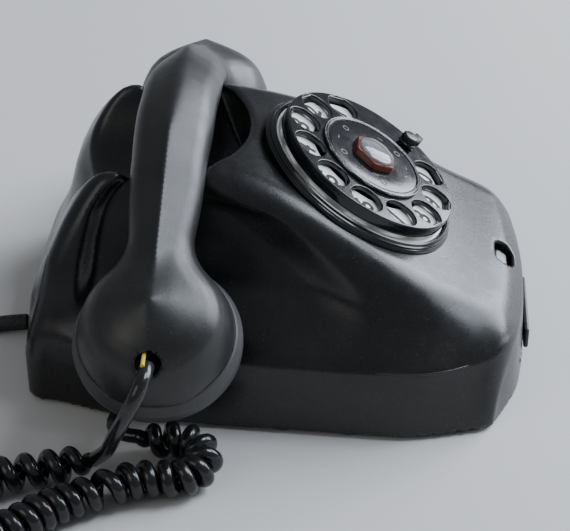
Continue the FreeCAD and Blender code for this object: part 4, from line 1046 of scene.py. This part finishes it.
def figure(text, size, place):
    data = bpy.data.curves.new("figure", "FONT")
    data.body = text
    data.size = size * MM
    data.align_x = "CENTER"
    data.align_y = "CENTER"
    data.extrude = 0.04 * MM
    data.offset = 0.26 * MM
    made = placed("figure", data)
    made.matrix_world = Matrix.Translation(place.translation * MM) @ place.to_3x3().to_4x4()
    bpy.context.view_layer.update()
    return as_mesh(made)


def make_dial_face():
    outline = [(24.4, -8.3), (38.2, -8.3), (38.2, -7.25), (38.0, -7.1), (35.4, -7.1), (34.9, -6.7),
               (34.9, -3.2), (34.6, PLATE_TOP), (24.6, PLATE_TOP), (24.4, -3.1), (24.4, -8.3)]
    plate = turned("number_ring", outline, DIAL, 0.12, 200)
    finish_piece(plate, "base", "dial_white", stands_for=["number_plate"])
    outline = [(8.2, -8.3), (24.3, -8.3), (24.3, -3.5), (23.6, -3.2), (9.0, -3.2), (8.2, -3.6), (8.2, -8.3)]
    well = turned("inner_ring", outline, DIAL, 0.2, 160)
    finish_piece(well, "base", "bezel_black")
    figures = []
    for number in range(10):
        degrees = FIRST_HOLE + 30 * number
        # A turned 9 stands for the 6, whose thickened outline fills wrongly.
        text, spin = ("9", 180) if number == 5 else (str((number + 1) % 10), 0)
        place = ring_place(HOLE_CIRCLE, degrees, PLATE_TOP + 0.06, spin)
        figures.append(figure(text, FIGURE_SIZE, place))
    finish_piece(joined("figures", figures), "base", "dial_white", "figure_ink")
    outline = [(38.9, -9.4), (42.0, -9.4), (42.0, -8.9), (41.5, -8.5), (41.5, -8.2), (41.0, -7.9),
               (41.0, -7.3), (40.4, -7.0), (40.1, -6.2), (39.5, -5.9), (38.9, -6.3), (38.9, -9.4)]
    bezel = turned("bezel", outline, DIAL, 0.1, 240)
    finish_piece(bezel, "base", "bezel_black", stands_for=["dial_bezel"])


def make_stop():
    """The finger stop: a foot outside the wheel, an arm over its rim, and a knurled knob."""
    place = DIAL @ Matrix.Rotation(math.radians(STOP_DEGREES), 4, "Z")

    def knurls(turn, height):
        return 0.14 * math.cos(turn * 26) if 2.4 < height < 4.6 else 0.0
    outline = [(0, 0.9), (3.5, 0.9), (3.6, 1.2), (3.6, 1.9), (3.1, 2.2), (3.3, 2.4), (3.3, 4.5),
               (2.8, 5.1), (0, 5.2)]
    knob_place = place @ Matrix.Translation((STOP_KNOB_AT, 0, 0))
    parts = [block("foot", (38.8, -2.0, -5.5), (41.2, 2.0, 2.2), place, 0.6),
             block("arm", (28.0, -2.0, 0.8), (41.2, 2.0, 2.2), place, 0.5),
             turned("knob", outline, knob_place, 0.25, 104, knurls)]
    finish_piece(joined("stop_knob", parts), "base", "stop_black", stands_for=["finger_stop"])


make_dial_face()
make_wheel()
make_hub()
make_stop()


# ---------------------------------------------------------------- small parts of the housing
def rounded_key(name, half_x, half_y, low, high, place, edge):
    """A round-ended bar with a softly domed top."""
    outline = []
    for end in (1, -1):
        for step in range(13):
            turn = math.pi * step / 12 - math.pi / 2
            reach = half_x - half_y + half_y * math.cos(turn)
            outline.append((end * reach, end * half_y * math.sin(turn)))
    rows = [(1.0, low), (1.0, high - edge)]
    for step in range(1, 7):
        turn = math.pi / 2 * step / 6
        rows.append((1 - edge / half_y * (1 - math.cos(turn)), high - edge + edge * math.sin(turn)))
    points = [place @ Vector((x * share, y * share, height)) for share, height in rows for x, y in outline]
    count = len(outline)
    faces = [(row * count + step, row * count + (step + 1) % count, (row + 1) * count + (step + 1) % count,
              (row + 1) * count + step) for row in range(len(rows) - 1) for step in range(count)]
    faces += [tuple(reversed(range(count))), tuple(range((len(rows) - 1) * count, len(rows) * count))]
    return piece_from(name, points, faces)


def make_small_parts():
    key = rounded_key("front_key", 6.0, 3.4, -6.0, 1.7, BUTTON, 1.3)
    finish_piece(key, "front_button", "stop_black", stands_for=["front_button"])
    tray = [block("leaf", (-33, -93.6, 6.4), (33, -21.6, 8.4), bevel=0.4),
            block("neck", (-17, -95.6, 6.4), (17, -93, 8.4), bevel=0.2),
            block("lip", (-19, -97.3, 3.4), (19, -95.3, 12.4), bevel=0.9, steps=4)]
    finish_piece(joined("tray", tray), "note_tray", "tray_black", stands_for=["note_tray"])
    for word, side in (("left", -1), ("right", 1)):
        low, high = (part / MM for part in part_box("plunger_" + word))
        pin = turned("pin_" + word, [(0, low.z), (2, low.z), (2, high.z - 1.0), (1.3, high.z), (0, high.z)],
                     Matrix.Translation((PLUNGER_X * side, PLUNGER_Y, 0)), 0.5, 40)
        finish_piece(pin, "plunger_" + word, "stop_black", stands_for=["plunger_" + word])


make_small_parts()


# ---------------------------------------------------------------- the frame's own nodes
def paint_frame():
    """Give each CAD node that is still shown the material that its record names."""
    slots = {entry["node"]: entry["material_slot"] for entry in frame["record"]["subparts"]}
    for name, made in frame["nodes"].items():
        made.data.materials.clear()
        made.data.materials.append(MATERIALS[slots[name]].material)


paint_frame()


# ---------------------------------------------------------------- stage
def soft_light(name, place, size, power, tone):
    data = bpy.data.lights.new(name, "AREA")
    data.shape = "RECTANGLE"
    data.size, data.size_y = size
    data.energy = power
    data.color = tone
    made = placed(name, data)
    made.location = place
    made.rotation_mode = "QUATERNION"
    made.rotation_quaternion = (Vector((0, 0, 0.05)) - Vector(place)).to_track_quat("-Z", "Y")


def make_stage():
    sheet = bpy.data.meshes.new("floor")
    reach = 4.0
    corners = [(-reach, -reach, 0), (reach, -reach, 0), (reach, reach, 0), (-reach, reach, 0)]
    sheet.from_pydata(corners, [], [(0, 1, 2, 3)])
    floor = placed("floor", sheet)
    nodes = Nodes("floor")
    tone = nodes.mix(nodes.noise(0.002, 3), (0.60, 0.595, 0.58), (0.64, 0.635, 0.62))
    nodes.link(tone, nodes.shader.inputs["Base Color"])
    nodes.set(Roughness=0.75)
    floor.data.materials.append(nodes.material)
    world = bpy.data.worlds.new("world")
    world.use_nodes = True
    background = world.node_tree.nodes["Background"]
    background.inputs["Color"].default_value = (0.62, 0.66, 0.72, 1)
    background.inputs["Strength"].default_value = 0.36
    bpy.context.scene.world = world
    soft_light("sky", (0.83, -1.16, 0.66), (1.30, 0.95), 46, (0.84, 0.90, 1.0))
    soft_light("high_sky", (0.14, -0.76, 1.18), (0.6, 0.5), 13, (0.82, 0.89, 1.0))
    soft_light("fill", (-0.9, 0.9, 0.9), (0.8, 0.8), 3.0, (1.0, 0.95, 0.88))


make_stage()
